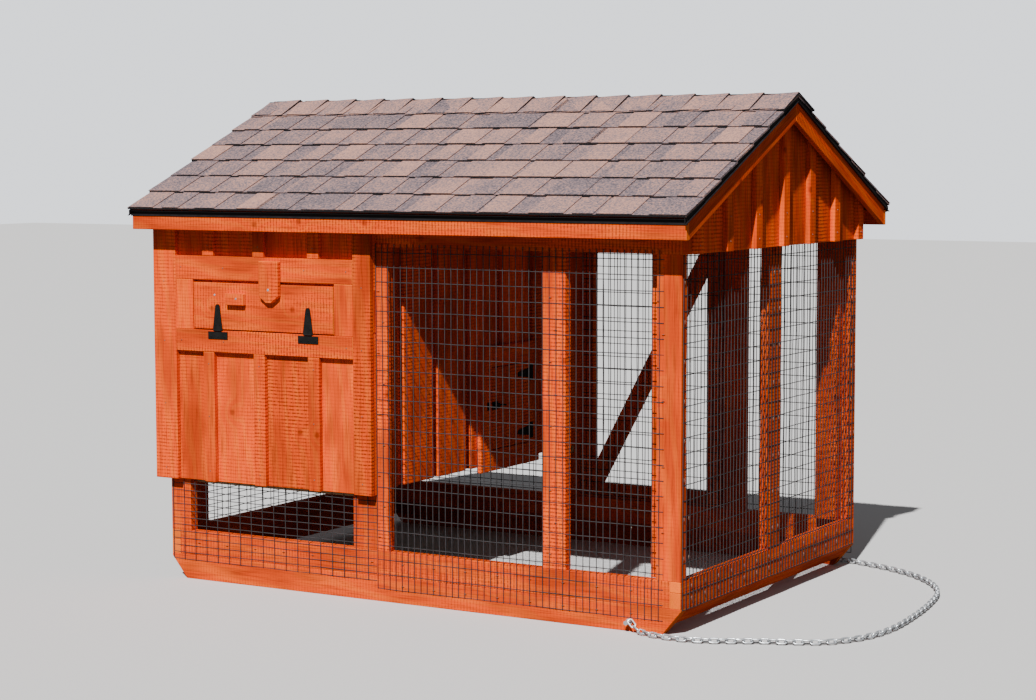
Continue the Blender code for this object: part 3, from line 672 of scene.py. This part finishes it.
# %% Pop door and its frame
GAP, TUCK = 0.06, 0.02
low, high = inches("pop_door_frame")
door_low, door_high = inches("pop_door")
a, b = door_low[1] - GAP, door_high[1] + GAP
pop_frame = Stack().plank(low, (high[0], a, high[2]), "Z")
pop_frame.plank((low[0], b, low[2]), high, "Z")
pop_frame.plank((low[0], a + TUCK, low[2]), (high[0], b - TUCK, door_low[2] - GAP), "Y")
pop_frame.plank((low[0], a + TUCK, door_high[2] + GAP), (high[0], b - TUCK, high[2]), "Y")
pop_frame.piece("pop_door_frame_boards", "pop_door_frame")
middle = (door_low[1] + door_high[1]) / 2
pop_door = Stack()
for a, b in ((door_low[1] + 2 * GAP, middle - 0.03), (middle + 0.03, door_high[1])):
    heights = (door_low[2] + 2 * GAP, door_high[2] - 2 * GAP)
    upright(pop_door, a, b, door_low[0], door_high[0], *heights, along_x=False)
pop_door.piece("pop_door_boards", "pop_door", body="pop_door")

# %% Access door
STILE, FOOT, BRACE, BRACE_INSET = 2.5, 2.1, 2.4, 0.03
low, high = inches("access_door_frame")
left, right = low[0] + STILE, high[0] - STILE
bottom, top = low[2] + FOOT, high[2] - STILE
door = Stack().plank(low, (left, *high[1:]), "Z")
door.plank((right, *low[1:]), high, "Z")
door.plank((left + TUCK, low[1], top), (right - TUCK, *high[1:]), "X")
door.plank((left + TUCK, *low[1:]), (right - TUCK, high[1], bottom), "X")
foot, head = Vector((left, 0, bottom)), Vector((right, 0, top))
lean = Matrix.Rotation(math.atan2(head.x - foot.x, head.z - foot.z), 4, "Y")
turn = Matrix.Translation((foot + head) / 2 * INCH) @ lean
inside_door = [(foot, (-1, 0, 0)), (head, (1, 0, 0)), (foot, (0, 0, -1)), (head, (0, 0, 1))]
reach = (head - foot).length / 2 + 2
near, far = low[1] + BRACE_INSET, high[1] - BRACE_INSET
door.plank((-BRACE / 2, near, -reach), (BRACE / 2, far, reach), "Z", inside_door, turn)
door.piece("access_door_timber", "access_door_frame", body="access_door")

# %% [markdown]
# ## The egg door
#
# The egg door drops down on two T-hinges so that eggs can be gathered from outside. It lies
# flush in a frame of four boards, and a wooden button holds it shut. The button's lower end is
# sawn to a blunt point, which two slanted cuts give it.

# %% Egg door, frame, button and block
low, high = inches("egg_door_frame")
door_low, door_high = inches("egg_door")
frame_face = low[1]
egg_frame = Stack().plank((*low[:2], door_high[2] + GAP), high, "X")
egg_frame.plank(low, (*high[:2], door_low[2] - GAP), "X")
for a, b in ((low[0], door_low[0] - GAP), (door_high[0] + GAP, high[0])):
    ends = (door_low[2] - GAP + TUCK, door_high[2] + GAP - TUCK)
    upright(egg_frame, a, b, low[1], high[1], *ends)
egg_frame.piece("egg_door_frame_boards", "egg_door_frame")

DOOR_TOP_GAP, DOOR_SIDE_GAP = 0.3, 0.1
start = (door_low[0] + DOOR_SIDE_GAP, door_low[1], door_low[2] + DOOR_SIDE_GAP)
end = (door_high[0] - DOOR_SIDE_GAP, door_high[1], door_high[2] - DOOR_TOP_GAP)
Stack().plank(start, end, "X", tone=0.5).piece("egg_door_board", "egg_door", body="egg_door")

POINT = 0.9
low, high = inches("turn_button")
cuts = [((side[0], 0, low[2] + POINT), (way * 0.9, 0, -1.2)) for side, way in ((low, -1), (high, 1))]
button = Stack().plank(low, high, "Z", cuts, tone=0.5)
button.piece("turn_button_board", "turn_button", body="turn_button")

grip = Stack().plank((-29.1, frame_face - BOARD, 40.0), (-26.0, frame_face - CRACK, 41.6), "X", tone=0.6)
grip.piece("egg_door_grip", body="egg_door")

# %% [markdown]
# ## Fascias and rake boards
#
# The fascias close the eaves, and the rake boards follow the slope of the gables up to a plumb
# joint at the ridge. A rake board is a plank that leans with the roof and is cut upright at
# both its ends.

# %% Fascias and rakes
RAKE_LOW, RAKE_HIGH = 65.35, 67.97
slope_angle = math.atan(ROOF_SLOPE)


def slope_board(stack, side, ridge_height, near_x, far_x, bottom, top, eave, gap, ease=0.05):
    """A board along the roof's slope at one side of the ridge, with plumb ends."""
    lean = Matrix.Rotation(-side * slope_angle, 4, "X")
    turn = Matrix.Translation(Vector((0, 0, ridge_height)) * INCH) @ lean
    plumb = [((0, side * gap, 0), (0, -side, 0)), ((0, side * eave, 0), (0, side, 0))]
    low, high = (near_x, -side * 4, bottom), (far_x, side * 40, top)
    stack.plank(low, high, "Y", plumb, turn, ease)


for side in ("front", "rear"):
    timber(f"{side}_fascia_board", f"{side}_fascia", "X")
for name in ("left", "right"):
    low, high = inches(f"{name}_rake_boards")
    depth = (RAKE_HIGH - RAKE_LOW) * math.cos(slope_angle)
    rakes = Stack()
    for side in (-1, 1):
        slope_board(rakes, side, RAKE_LOW, low[0], high[0], 0, depth, high[1], 0.015)
    rakes.piece(f"{name}_rake_timber", f"{name}_rake_boards")

# %% [markdown]
# ## Growing things with Geometry Nodes
#
# Wires, shingles, screws, staples and links repeat by a rule. A Geometry Nodes tree states each
# rule once, with its sizes as inputs. After it has run, its result is kept as a plain mesh.


# %% Geometry Nodes helpers
class Growth(Tree):
    """A Geometry Nodes tree that is being built, with named inputs."""

    def __init__(self, name, **inputs):
        inputs = {title.replace("_", " "): value for title, value in inputs.items()}
        made = new_group(name, "GeometryNodeTree", {**inputs, "Material": "Material"}, {"Out": "Geometry"})
        super().__init__(made.tree)
        self.given, self.out = made.given, made.out

    def box(self, *size):
        size = self.combine(*size) if len(size) == 3 else (1.0, 1.0, 1.0)
        return self.node("GeometryNodeMeshCube", {"Size": size})

    def circle(self, sides, radius):
        return self.node("GeometryNodeCurvePrimitiveCircle", {"Resolution": sides, "Radius": radius})

    def row(self, count, offset):
        line = {"Count": count, "Offset": offset}
        return self.node("GeometryNodeMeshLine", line, mode="OFFSET")

    def luck(self, low, high, seed):
        values = {2: low, 3: high, "Seed": seed}
        return self.node("FunctionNodeRandomValue", values, 1, data_type="FLOAT")

    def placed(self, geometry, **how):
        return self.node("GeometryNodeTransform", {"Geometry": geometry, **how})

    def moved(self, geometry, offset):
        return self.node("GeometryNodeSetPosition", {"Geometry": geometry, "Offset": offset})

    def copies(self, instance, points, **how):
        values = {"Points": points, "Instance": instance, **how}
        return self.node("GeometryNodeInstanceOnPoints", values)

    def toned(self, instances, tone):
        values = {"Geometry": instances, "Name": "tone", "Value": tone}
        return self.node(
            "GeometryNodeStoreNamedAttribute", values, data_type="FLOAT", domain="INSTANCE"
        )

    def joined(self, *parts):
        made = self.tree.nodes.new("GeometryNodeJoinGeometry")
        for part in parts:
            self.tree.links.new(part, made.inputs[0])
        return made.outputs[0]

    def real(self, geometry):
        return self.node("GeometryNodeRealizeInstances", {"Geometry": geometry})

    def done(self, geometry):
        """Ends the tree in real geometry that has its material."""
        values = {"Geometry": self.real(geometry), "Material": self.given["Material"]}
        self.put(self.out[0], self.node("GeometryNodeSetMaterial", values))
        return self.tree


def grow(name, tree, source=None, **values):
    """Runs a tree once, with the given inputs, and returns its result as a plain mesh."""
    obj = into_scene(name, source or bpy.data.meshes.new(name))
    modifier = obj.modifiers.new(name, "NODES")
    modifier.node_group = tree
    for item in tree.interface.items_tree:
        key = item.name.replace(" ", "_")
        if item.in_out == "INPUT" and key in values:
            modifier[item.identifier] = values[key]
    graph = bpy.context.evaluated_depsgraph_get()
    mesh = bpy.data.meshes.new_from_object(obj.evaluated_get(graph))
    bpy.data.objects.remove(obj)
    return mesh


def smooth(mesh):
    for face in mesh.polygons:
        face.use_smooth = True


print("growing helpers ready")

# %% [markdown]
# ## Welded wire
#
# Welded wire is two layers of straight wires that cross, fused where they touch. The tree lays
# a row of uprights and a row of levels, bends them very slightly as handling does, and turns
# the lines into round wire. A panel is grown flat and then stood where the CAD has its sheet.


# %% Tree: welded wire
def welded_wire_tree():
    tree = Growth(
        "Welded wire", Width=1.0, Height=1.0, Between_uprights=INCH, Between_levels=2 * INCH,
        Wire=0.002, Unevenness=0.002,
    )
    given = tree.given
    layers = []
    for span, step, axis, end, behind in (
        ("Width", "Between uprights", "x", {"z": given["Height"]}, 0.0),
        ("Height", "Between levels", "z", {"x": given["Width"]}, 0.8),
    ):
        count = tree.plus(tree.math("FLOOR", tree.over(given[span], given[step])), 1.0)
        points = tree.row(count, tree.combine(**{axis: given[step]}))
        line = tree.node("GeometryNodeCurvePrimitiveLine", {"End": tree.combine(**end)})
        back = tree.combine(y=tree.times(given["Wire"], behind))
        layers.append(tree.placed(tree.copies(line, points), Translation=back))
    lines = {"Curve": tree.real(tree.joined(*layers)), "Length": 0.075}
    lines = tree.node("GeometryNodeResampleCurve", lines, mode="LENGTH")
    wander = tree.noise(tree.node("GeometryNodeInputPosition", {}), 6.0, 1.0, "Color")
    wander = tree.vector("SCALE", tree.vector("SUBTRACT", wander, (0.5, 0.5, 0.5)), given["Unevenness"])
    profile = tree.circle(5, tree.times(given["Wire"], 0.5))
    wires = {"Curve": tree.moved(lines, wander), "Profile Curve": profile, "Fill Caps": True}
    return tree.done(tree.node("GeometryNodeCurveToMesh", wires))


WELDED_WIRE = welded_wire_tree()
WIRE_THICKNESS, UNEVENNESS = 0.0031, 0.006
QUARTER_TURNS = {"front": 0, "rear": 2, "right": 1, "left": -1}


def wire_panel(facing, low, high, turned):
    """Wire between two corners, seen from its facing side. Turned wire lies on its side."""
    low, high = Vector(low) * INCH, Vector(high) * INCH
    along = 0 if facing in ("front", "rear") else 1
    steps = (2 * INCH, INCH) if turned else (INCH, 2 * INCH)
    mesh = grow(
        "wire", WELDED_WIRE, Width=high[along] - low[along], Height=high.z - low.z,
        Between_uprights=steps[0], Between_levels=steps[1], Wire=WIRE_THICKNESS,
        Unevenness=UNEVENNESS, Material=WIRE,
    )
    x = high.x if facing in ("rear", "right") else low.x
    y = high.y if facing in ("rear", "left") else low.y
    turn = Matrix.Rotation(QUARTER_TURNS[facing] * math.pi / 2, 4, "Z")
    mesh.transform(Matrix.Translation((x, y, low.z)) @ turn)
    return mesh


WIRE_SHEETS = {
    "front_run": ["front"], "front_skirt": ["front"], "right_end": ["right"], "rear_run": ["rear"],
    "access_door": ["front"], "rear_skirt": ["rear", "left"],
}
for name, facings in WIRE_SHEETS.items():
    turned = "skirt" in name
    panels = [wire_panel(facing, *inches(f"{name}_mesh"), turned) for facing in facings]
    whole = bmesh.new()
    for panel in panels:
        whole.from_mesh(panel)
    whole.to_mesh(panels[0])
    whole.free()
    smooth(panels[0])
    body = name if name in frame["bodies"] else "coop"
    as_piece(f"{name}_wire", panels[0], body, "wire", [f"{name}_mesh"])

# %% [markdown]
# ## Shingle courses
#
# Laminated shingles have a flat backing and, on top of it, teeth of uneven width. Every course
# covers the top of the one below, so the roof rises in small steps that cast thin shadows. The
# tree numbers its points, and works out from a point's number its course and its place in it.


# %% Tree: shingle courses
def shingle_tree():
    tree = Growth(
        "Shingle courses", Length=2.24, Exposure=0.1333, Courses=7, Teeth=14, Backing=0.004,
        Tooth=0.0035, Seed=3,
    )
    times, plus, given = tree.times, tree.plus, tree.given
    step = tree.over(given["Length"], given["Teeth"])
    rise = tree.math("ARCTAN2", plus(given["Backing"], given["Tooth"]), given["Exposure"])
    tilted = tree.combine(times(rise, -0.8))
    layers = []
    for teeth in (False, True):
        number = tree.node("GeometryNodeInputIndex", {})
        per_course = given["Teeth"] if teeth else times(given["Teeth"], 2.0)
        course = tree.math("FLOOR", tree.over(number, per_course))
        column = tree.minus(number, times(course, per_course))
        seeds = [plus(given["Seed"], extra + (50.0 if teeth else 0.0)) for extra in (1.0, 2.0, 3.0)]
        wide = step if teeth else times(step, 0.5)
        shift = tree.luck(-0.2, 0.2, seeds[0]) if teeth else 0.0
        x = tree.minus(times(plus(plus(column, 0.5), shift), wide), times(given["Length"], 0.5))
        y = times(plus(course, 0.5), given["Exposure"])
        z = times(given["Backing"], 1.4 if teeth else 0.5)
        points = {"Count": times(given["Courses"], per_course), "Position": tree.combine(x, y, z)}
        width = times(wide, tree.luck(0.45, 1.0, seeds[1]) if teeth else 1.002)
        thick = given["Tooth"] if teeth else given["Backing"]
        size = tree.combine(width, times(given["Exposure"], 1.06), thick)
        row = tree.copies(tree.box(), tree.node("GeometryNodePoints", points), Rotation=tilted, Scale=size)
        tones = (0.3, 0.85) if teeth else (0.25, 0.6)
        layers.append(tree.toned(row, tree.luck(*tones, seeds[2])))
    return tree.done(tree.joined(*layers))


SHINGLES = shingle_tree()
COURSES = 7
EAVE_REACH, EAVE_HEIGHT = 33.75, 53.24
slope_length = 33.9 * INCH / math.cos(slope_angle)
roof_end = inches("front_shingles")[1][0] * INCH
for side, out, seed in (("front", -1, 3), ("rear", 1, 8)):
    mesh = grow(
        "shingles", SHINGLES, Length=88.0 * INCH, Exposure=slope_length / COURSES, Courses=COURSES,
        Teeth=15, Backing=0.0065, Tooth=0.0017, Seed=seed, Material=SHINGLE,
    )
    facing = Matrix() if out < 0 else Matrix.Rotation(math.pi, 4, "Z")
    eave = Matrix.Translation(Vector((0, out * EAVE_REACH, EAVE_HEIGHT)) * INCH)
    mesh.transform(eave @ facing @ Matrix.Rotation(slope_angle, 4, "X"))
    for corner in mesh.vertices:
        corner.co.x = max(-roof_end, min(roof_end, corner.co.x))
    as_piece(f"{side}_shingle_courses", mesh, "coop", "shingle", [f"{side}_shingles"])

# %% [markdown]
# ## Ridge cap
#
# The ridge is covered by short pieces bent over it, each lapping the last. One bent piece is
# two thin leaves; the tree repeats it along the ridge and lifts each one's exposed end.


# %% Tree: ridge cap
def ridge_tree():
    tree = Growth(
        "Ridge cap", Caps=17, Exposure=0.1333, Reach=0.14, Lap=1.12, Slope=0.43, Thick=0.004, Seed=5
    )
    times, given = tree.times, tree.given
    line = tree.row(given["Caps"], tree.combine(given["Exposure"]))
    leaves = []
    for side in (-1.0, 1.0):
        leaf = tree.box(times(given["Exposure"], given["Lap"]), given["Reach"], given["Thick"])
        leaf = tree.placed(leaf, Translation=tree.combine(y=times(given["Reach"], 0.5 * side)))
        leaves.append(tree.placed(leaf, Rotation=tree.combine(times(given["Slope"], -side))))
    tilt = tree.math("ARCTAN2", times(given["Thick"], -1.3), given["Exposure"])
    row = tree.copies(tree.joined(*leaves), line, Rotation=tree.combine(y=tilt))
    return tree.done(tree.toned(row, tree.luck(0.5, 0.72, given["Seed"])))


CAPS, LAP, CAP_REACH, CAP_THICK = 17, 1.12, 5.1, 0.006
low, high = inches("ridge_cap")
cap_step = (high[0] - low[0]) / (CAPS - 1 + LAP)
mesh = grow(
    "caps", ridge_tree(), Caps=CAPS, Exposure=cap_step * INCH, Lap=LAP,
    Reach=CAP_REACH * INCH / math.cos(slope_angle), Slope=slope_angle, Thick=CAP_THICK,
    Material=RIDGE_SHINGLE,
)
first_cap = Vector((low[0] + cap_step * LAP / 2, 0, high[2] - 0.3))
mesh.transform(Matrix.Translation(first_cap * INCH))
as_piece("ridge_caps", mesh, "coop", "shingle", ["ridge_cap"])

# %% [markdown]
# ## Drip edges
#
# Folded black metal keeps rain off the fascias and rakes. It is a thin leaf in front of each
# board, with a lip that turns back under the shingles' edge or over the board.

# %% Drip edges
ROOF_HALF = 43.95
drips = Stack()
for side in (-1, 1):
    for near, far, bottom, top in ((33.27, 33.36, 52.35, 53.1), (33.3, 33.75, 53.02, 53.14)):
        corners = (-ROOF_HALF, side * near, bottom), (ROOF_HALF, side * far, top)
        drips.plank(*corners, "X", ease=0.02)
for end in (-1, 1):
    for side in (-1, 1):
        for far, bottom, top in ((43.86, 0.5, 1.15), (44.08, 0.42, 0.51)):
            slope_board(drips, side, 67.45, end * 43.77, end * far, bottom, top, 33.9, 0.005, 0.02)
drips.piece("drip_edges", finish=DRIP, slot="black_steel")

# %% [markdown]
# ## Screws, nails and staples
#
# A screw head is the same little disc wherever it goes. The tree takes points and puts a head
# on every one, turned the way that its surface faces. A staple is the same head with four
# sides, drawn out into a bar.


# %% Tree: fasteners
def fastener_tree():
    tree = Growth(
        "Fasteners", Geometry="Geometry", Radius=0.004, Height=0.0012, Sides=10, Length=1.0,
        Facing="Vector",
    )
    given = tree.given
    head = {
        "Vertices": given["Sides"], "Radius Bottom": given["Radius"], "Depth": given["Height"],
        "Radius Top": tree.times(given["Radius"], 0.8),
    }
    head = tree.node("GeometryNodeMeshCone", head)
    head = tree.placed(head, Scale=tree.combine(given["Length"], 1.0, 1.0))
    turn = tree.node("FunctionNodeAlignRotationToVector", {"Vector": given["Facing"]}, axis="Z")
    return tree.done(tree.copies(head, given["Geometry"], Rotation=turn))


FASTENERS = fastener_tree()
FRONT, RIGHT_END = (0.0, -1.0, 0.0), (1.0, 0.0, 0.0)
HEADS = {
    "nail": (0.1, 0.05, 10, 1.0, NAIL, "galvanised_steel"),
    "screw": (0.16, 0.05, 10, 1.0, ZINC, "galvanised_steel"),
    "big screw": (0.2, 0.05, 10, 1.0, ZINC, "galvanised_steel"),
    "black screw": (0.16, 0.05, 10, 1.0, BLACK, "black_steel"),
    "staple": (0.045, 0.06, 4, 6.0, NAIL, "galvanised_steel"),
}


def fasteners(name, body, kind, facing, spots):
    """Heads of one kind at spots in inches."""
    points = bpy.data.meshes.new(name)
    points.from_pydata([Vector(spot) * INCH for spot in spots], [], [])
    radius, height, sides, length, finish, slot = HEADS[kind]
    mesh = grow(
        name, FASTENERS, points, Radius=radius * INCH, Height=height * INCH, Sides=sides,
        Length=length, Facing=facing, Material=finish,
    )
    as_piece(name, mesh, body, slot)


# %% Nails and screws in the walls
front_out = frame_front - 2 * BOARD
door_out = front_out - BOARD
spots = [(x, front_out, z) for x in FRONT_BATTENS for z in (16.2, 24.0, 31.5, 48.2, 50.8)]
spots += [(x, front_out, z) for x in (-40.6, -6.5) for z in (16.2, 25.5, 34.5, 43.0, 50.5)]
spots += [(x, front_out, z) for x in (-37.5, -30.0, -16.0, -9.0) for z in (34.7, 45.1)]
fasteners("front_nails", "coop", "nail", FRONT, spots)
spots = [(-31.5, front_out, 41.3), (-27.2, door_out, 40.9)]
fasteners("egg_door_screws", "egg_door", "screw", FRONT, spots)
fasteners("button_screw", "turn_button", "big screw", FRONT, [(-21.6, door_out, 42.3)])
gable_out = half_length + 2 * BOARD
spots = [(gable_out, y, z) for y in gable_battens[1:-1] for z in (49.8, 53.0)]
spots += [(gable_out, y, 49.6) for y in gable_battens[::6]]
fasteners("gable_nails", "coop", "nail", RIGHT_END, spots)

# %% Staples in the wire
wire_out = frame_front - 0.1
spots = []
for x in (-4.3, 22.5, 38.1):
    spots += [(x + (0.4 if n % 2 else -0.4), wire_out, 9.0 + 4.2 * n) for n in range(10)]
spots += [(x, wire_out, z) for x in range(-36, 38, 5) for z in (2.4, 5.4) if z > 3 or x > -4]
spots += [(x, wire_out, 48.8) for x in range(-2, 38, 4)]
fasteners("front_staples", "coop", "staple", FRONT, spots)
wire_out = half_length + 0.1
spots = [(wire_out, y, z) for y in range(-26, 27, 4) for z in (4.6, 6.2)]
spots += [(wire_out, y, z) for y in (-28.2, -26.8, -0.9, 0.9, 26.8, 28.2) for z in range(10, 48, 5)]
fasteners("end_staples", "coop", "staple", RIGHT_END, spots)

# %% [markdown]
# ## Hinges and bolts
#
# The straps and their knuckles are CAD parts with the right shape, so they only need the black
# finish. What the CAD leaves out are the fixed leaves, the keepers and the screws.

# %% Hinge leaves, keepers and screws
LEAF, KEEPER, LEAF_EASE = 0.09, 0.12, 0.02
EGG_HINGES = (-30.95, -15.35)


def black_plates(name, plates):
    """Thin plates on the coop, in inches: two corners and the long axis of each."""
    leaves = Stack()
    for low, high, grain in plates:
        leaves.plank(low, high, grain, ease=LEAF_EASE)
    leaves.piece(name, finish=BLACK, slot="black_steel")


leaf_y = frame_front - 2 * BOARD - 0.1
black_plates(
    "egg_door_leaves",
    [((x - 1.72, leaf_y, 35.05), (x + 1.72, leaf_y + LEAF, 36.12), "X") for x in EGG_HINGES],
)
spots = [(x + dx, leaf_y, 35.45) for x in EGG_HINGES for dx in (-1.2, 0, 1.2)]
fasteners("egg_leaf_screws", "coop", "black screw", FRONT, spots)
STRAP_SCREWS = ((-0.35, 37.1), (0.35, 37.1), (0, 38.1), (0, 39.3))
spots = [(x + dx, leaf_y, z) for x in EGG_HINGES for dx, z in STRAP_SCREWS]
fasteners("egg_strap_screws", "egg_door", "black screw", FRONT, spots)

x, y, _ = inches("pop_door_frame")[1]
near, leaf_x, keeper_x = x + CRACK, x + CRACK + LEAF, x + KEEPER
y -= 3.0
plates = [((near, y + 0.14, z - 1.2), (leaf_x, y + 1.1, z + 1.2), "Z") for z in (19.6, 28.3)]
plates.append(((near, -3.0, 23.7), (keeper_x, -2.35, 24.9), "Z"))
black_plates("pop_door_leaves", plates)
near, leaf_y, keeper_y = frame_rear + CRACK, frame_rear + CRACK + LEAF, frame_rear + KEEPER
plates = []
for end in ("lower", "upper"):
    z = sum(corner[2] for corner in inches(f"access_door_{end}_strap")) / 2
    plates.append(((-6.1, near, z - 1.6), (-4.95, leaf_y, z + 1.6), "Z"))
plates.append(((20.6, near, 27.3), (21.4, keeper_y, 28.7), "Z"))
black_plates("access_door_leaves", plates)

# %% Finishes for the CAD parts that stay
RAFTER_WOOD = wood_material("stained rafters", STAIN, "Y")
ROOST_WOOD = wood_material("stained roost", STAIN, "X")
CAD_FINISHES = {
    "chain_bolt": ZINC, "strap": BLACK, "_bolt": BLACK, "bolt_case": BLACK, "house_floor": BARE_PLY,
    "nest_box": BARE_PLY, "run_rafters": RAFTER_WOOD, "right_gable_frame": RAFTER_WOOD,
    "roof_deck": RAFTER_WOOD, "roost_bar": ROOST_WOOD,
}
for name, obj in frame["nodes"].items():
    finish = next((look for ending, look in CAD_FINISHES.items() if name.endswith(ending)), None)
    if finish:
        obj.data.materials.clear()
        obj.data.materials.append(finish)
print("CAD parts finished")

# %% [markdown]
# ## The tow chain
#
# A chain is limp: each link turns freely in the next, so it lies in loose curves on the ground.
# Its route is a smooth line through a few points, the same ones as in the CAD. The tree walks
# along the line, one link's inner length at a time, and rolls every other link a quarter turn,
# because each link has to pass through the next.

# %% The chain's route
LYING = 0.0115
LAID_POINTS = (
    (0.930, -0.774), (0.985, -0.791), (1.065, -0.796), (1.140, -0.783), (1.225, -0.744), (1.310, -0.698),
    (1.398, -0.662), (1.500, -0.600), (1.575, -0.470), (1.602, -0.300), (1.592, -0.080), (1.568, 0.120),
    (1.528, 0.310), (1.455, 0.460), (1.350, 0.580), (1.230, 0.665), (1.120, 0.715), (1.040, 0.745),
    (0.965, 0.764), (0.915, 0.764),
)
CHAIN_ROUTE = [
    (0.872, -0.751, 0.034), (0.897, -0.760, 0.016),
    *((x, y, LYING) for x, y in LAID_POINTS), (0.872, 0.751, 0.034),
]
LINK_WIDTH, LINK_WIRE, LINK_PITCH, LINK_END = 0.022, 0.006, 0.0265, 0.004


def smooth_route(route, pieces=16):
    """A smooth curve through the route, as closely spaced points."""
    route = [Vector(point) for point in route]
    ends = [route[0] * 2 - route[1], *route, route[-1] * 2 - route[-2]]
    fine = []
    for a, b, c, d in zip(ends, ends[1:], ends[2:], ends[3:]):
        for t in (n / pieces for n in range(pieces)):
            bend, twist = 2 * a - 5 * b + 4 * c - d, 3 * b - a - 3 * c + d
            fine.append(0.5 * (2 * b + (c - a) * t + bend * t * t + twist * t**3))
    return [*fine, route[-1]]


def length_of(points):
    return sum((b - a).length for a, b in zip(points, points[1:]))


route = smooth_route(CHAIN_ROUTE)
chain_length = length_of(route)
print("chain route", round(chain_length, 3), "m")


# %% Tree: chain
def chain_tree():
    tree = Growth("Chain", Geometry="Geometry", Pitch=0.0254, Width=0.021, Wire=0.005)
    times, plus, given = tree.times, tree.plus, tree.given
    radius = times(tree.minus(given["Width"], given["Wire"]), 0.5)
    middle = times(plus(given["Pitch"], given["Wire"]), 0.5)
    side = tree.math("SIGN", tree.apart(tree.node("GeometryNodeInputPosition", {}))["X"])
    stretch = tree.combine(times(side, tree.minus(middle, radius)))
    ring = tree.moved(tree.circle(14, radius), stretch)
    rod = tree.circle(7, times(given["Wire"], 0.5))
    link = tree.node("GeometryNodeCurveToMesh", {"Curve": ring, "Profile Curve": rod})
    link = tree.placed(link, Rotation=(0, math.pi / 2, 0))
    walk = {"Curve": given["Geometry"], "Length": given["Pitch"]}
    walk = tree.outputs("GeometryNodeCurveToPoints", walk, mode="LENGTH")
    odd = tree.math("MODULO", tree.node("GeometryNodeInputIndex", {}), 2.0)
    roll = times(tree.minus(odd, 0.5), math.pi / 2)
    turns = {"Rotation": walk["Rotation"], "Rotate By": tree.combine(z=roll)}
    turn = tree.node("FunctionNodeRotateRotation", turns, rotation_space="LOCAL")
    return tree.done(tree.copies(link, walk["Points"], Rotation=turn))


# %% Tow chain
walked, inside = 0.0, []
for a, b in zip(route, route[1:]):
    if LINK_END < walked < chain_length - LINK_END:
        inside.append(a)
    walked += (b - a).length
line = bpy.data.curves.new("chain_line", "CURVE")
line.dimensions = "3D"
spline = line.splines.new("POLY")
spline.points.add(len(inside) - 1)
for target, point in zip(spline.points, inside):
    target.co = (*point, 1)
inside_length = length_of(inside)
pitch = inside_length / round(inside_length / LINK_PITCH) * 0.99999
mesh = grow("links", chain_tree(), line, Pitch=pitch, Width=LINK_WIDTH, Wire=LINK_WIRE, Material=ZINC)
smooth(mesh)
chain = as_piece("tow_chain_links", mesh, "coop", "galvanised_steel", ["tow_chain"])
tuple(route[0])
[tuple(point) for point in route[::4]]
print("links", round(pitch, 4), "m apart")

# %% [markdown]
# ## Floor and light
#
# The coop stands on a plain pale floor. One strong lamp shines from over the viewer's left
# shoulder, as the sun does outdoors, and its shadows are crisp. An even, pale surround fills
# them, so that the run's inside can be read. Floor and surround look paler than the light that
# they throw back, because real ground in the open is darker than a studio's.

# %% Floor and light
FLOOR_REACH = 30.0
FLOOR_BOUNCE, FLOOR_SEEN = (0.12, 0.11, 0.1, 1), (0.62, 0.61, 0.6, 1)
SUN_FROM, SUN_STRENGTH, SUN_WIDTH = Vector((0.26, -1.0, 1.06)), 7.6, 1.0
SKY, FILL, BACKDROP = (0.92, 0.95, 1.0, 1), 0.17, 1.6


def seen(tree):
    return tree.node("ShaderNodeLightPath", {}, "Is Camera Ray")


pale = Material("pale floor")
pale.put(pale.shader["Base Color"], pale.mix(seen(pale), FLOOR_BOUNCE, FLOOR_SEEN))
pale.put(pale.shader["Roughness"], 0.9)
floor_mesh = bpy.data.meshes.new("floor")
corners = [(x * FLOOR_REACH, y * FLOOR_REACH, 0) for x, y in ((-1, -1), (1, -1), (1, 1), (-1, 1))]
floor_mesh.from_pydata(corners, [], [(0, 1, 2, 3)])
floor_mesh.materials.append(pale.made)
into_scene("floor", floor_mesh)

sun = bpy.data.lights.new("sun", "SUN")
sun.energy = SUN_STRENGTH
sun.angle = math.radians(SUN_WIDTH)
into_scene("sun", sun).rotation_euler = SUN_FROM.to_track_quat("Z", "Y").to_euler()
world = bpy.context.scene.world or bpy.data.worlds.new("surround")
bpy.context.scene.world = world
world.use_nodes = True
air = Tree(world.node_tree)
surround = world.node_tree.nodes["Background"].inputs
surround["Color"].default_value = SKY
strength = {"Value": seen(air), "To Min": FILL, "To Max": BACKDROP}
air.put(surround["Strength"], air.node("ShaderNodeMapRange", strength))
print("floor and light set")
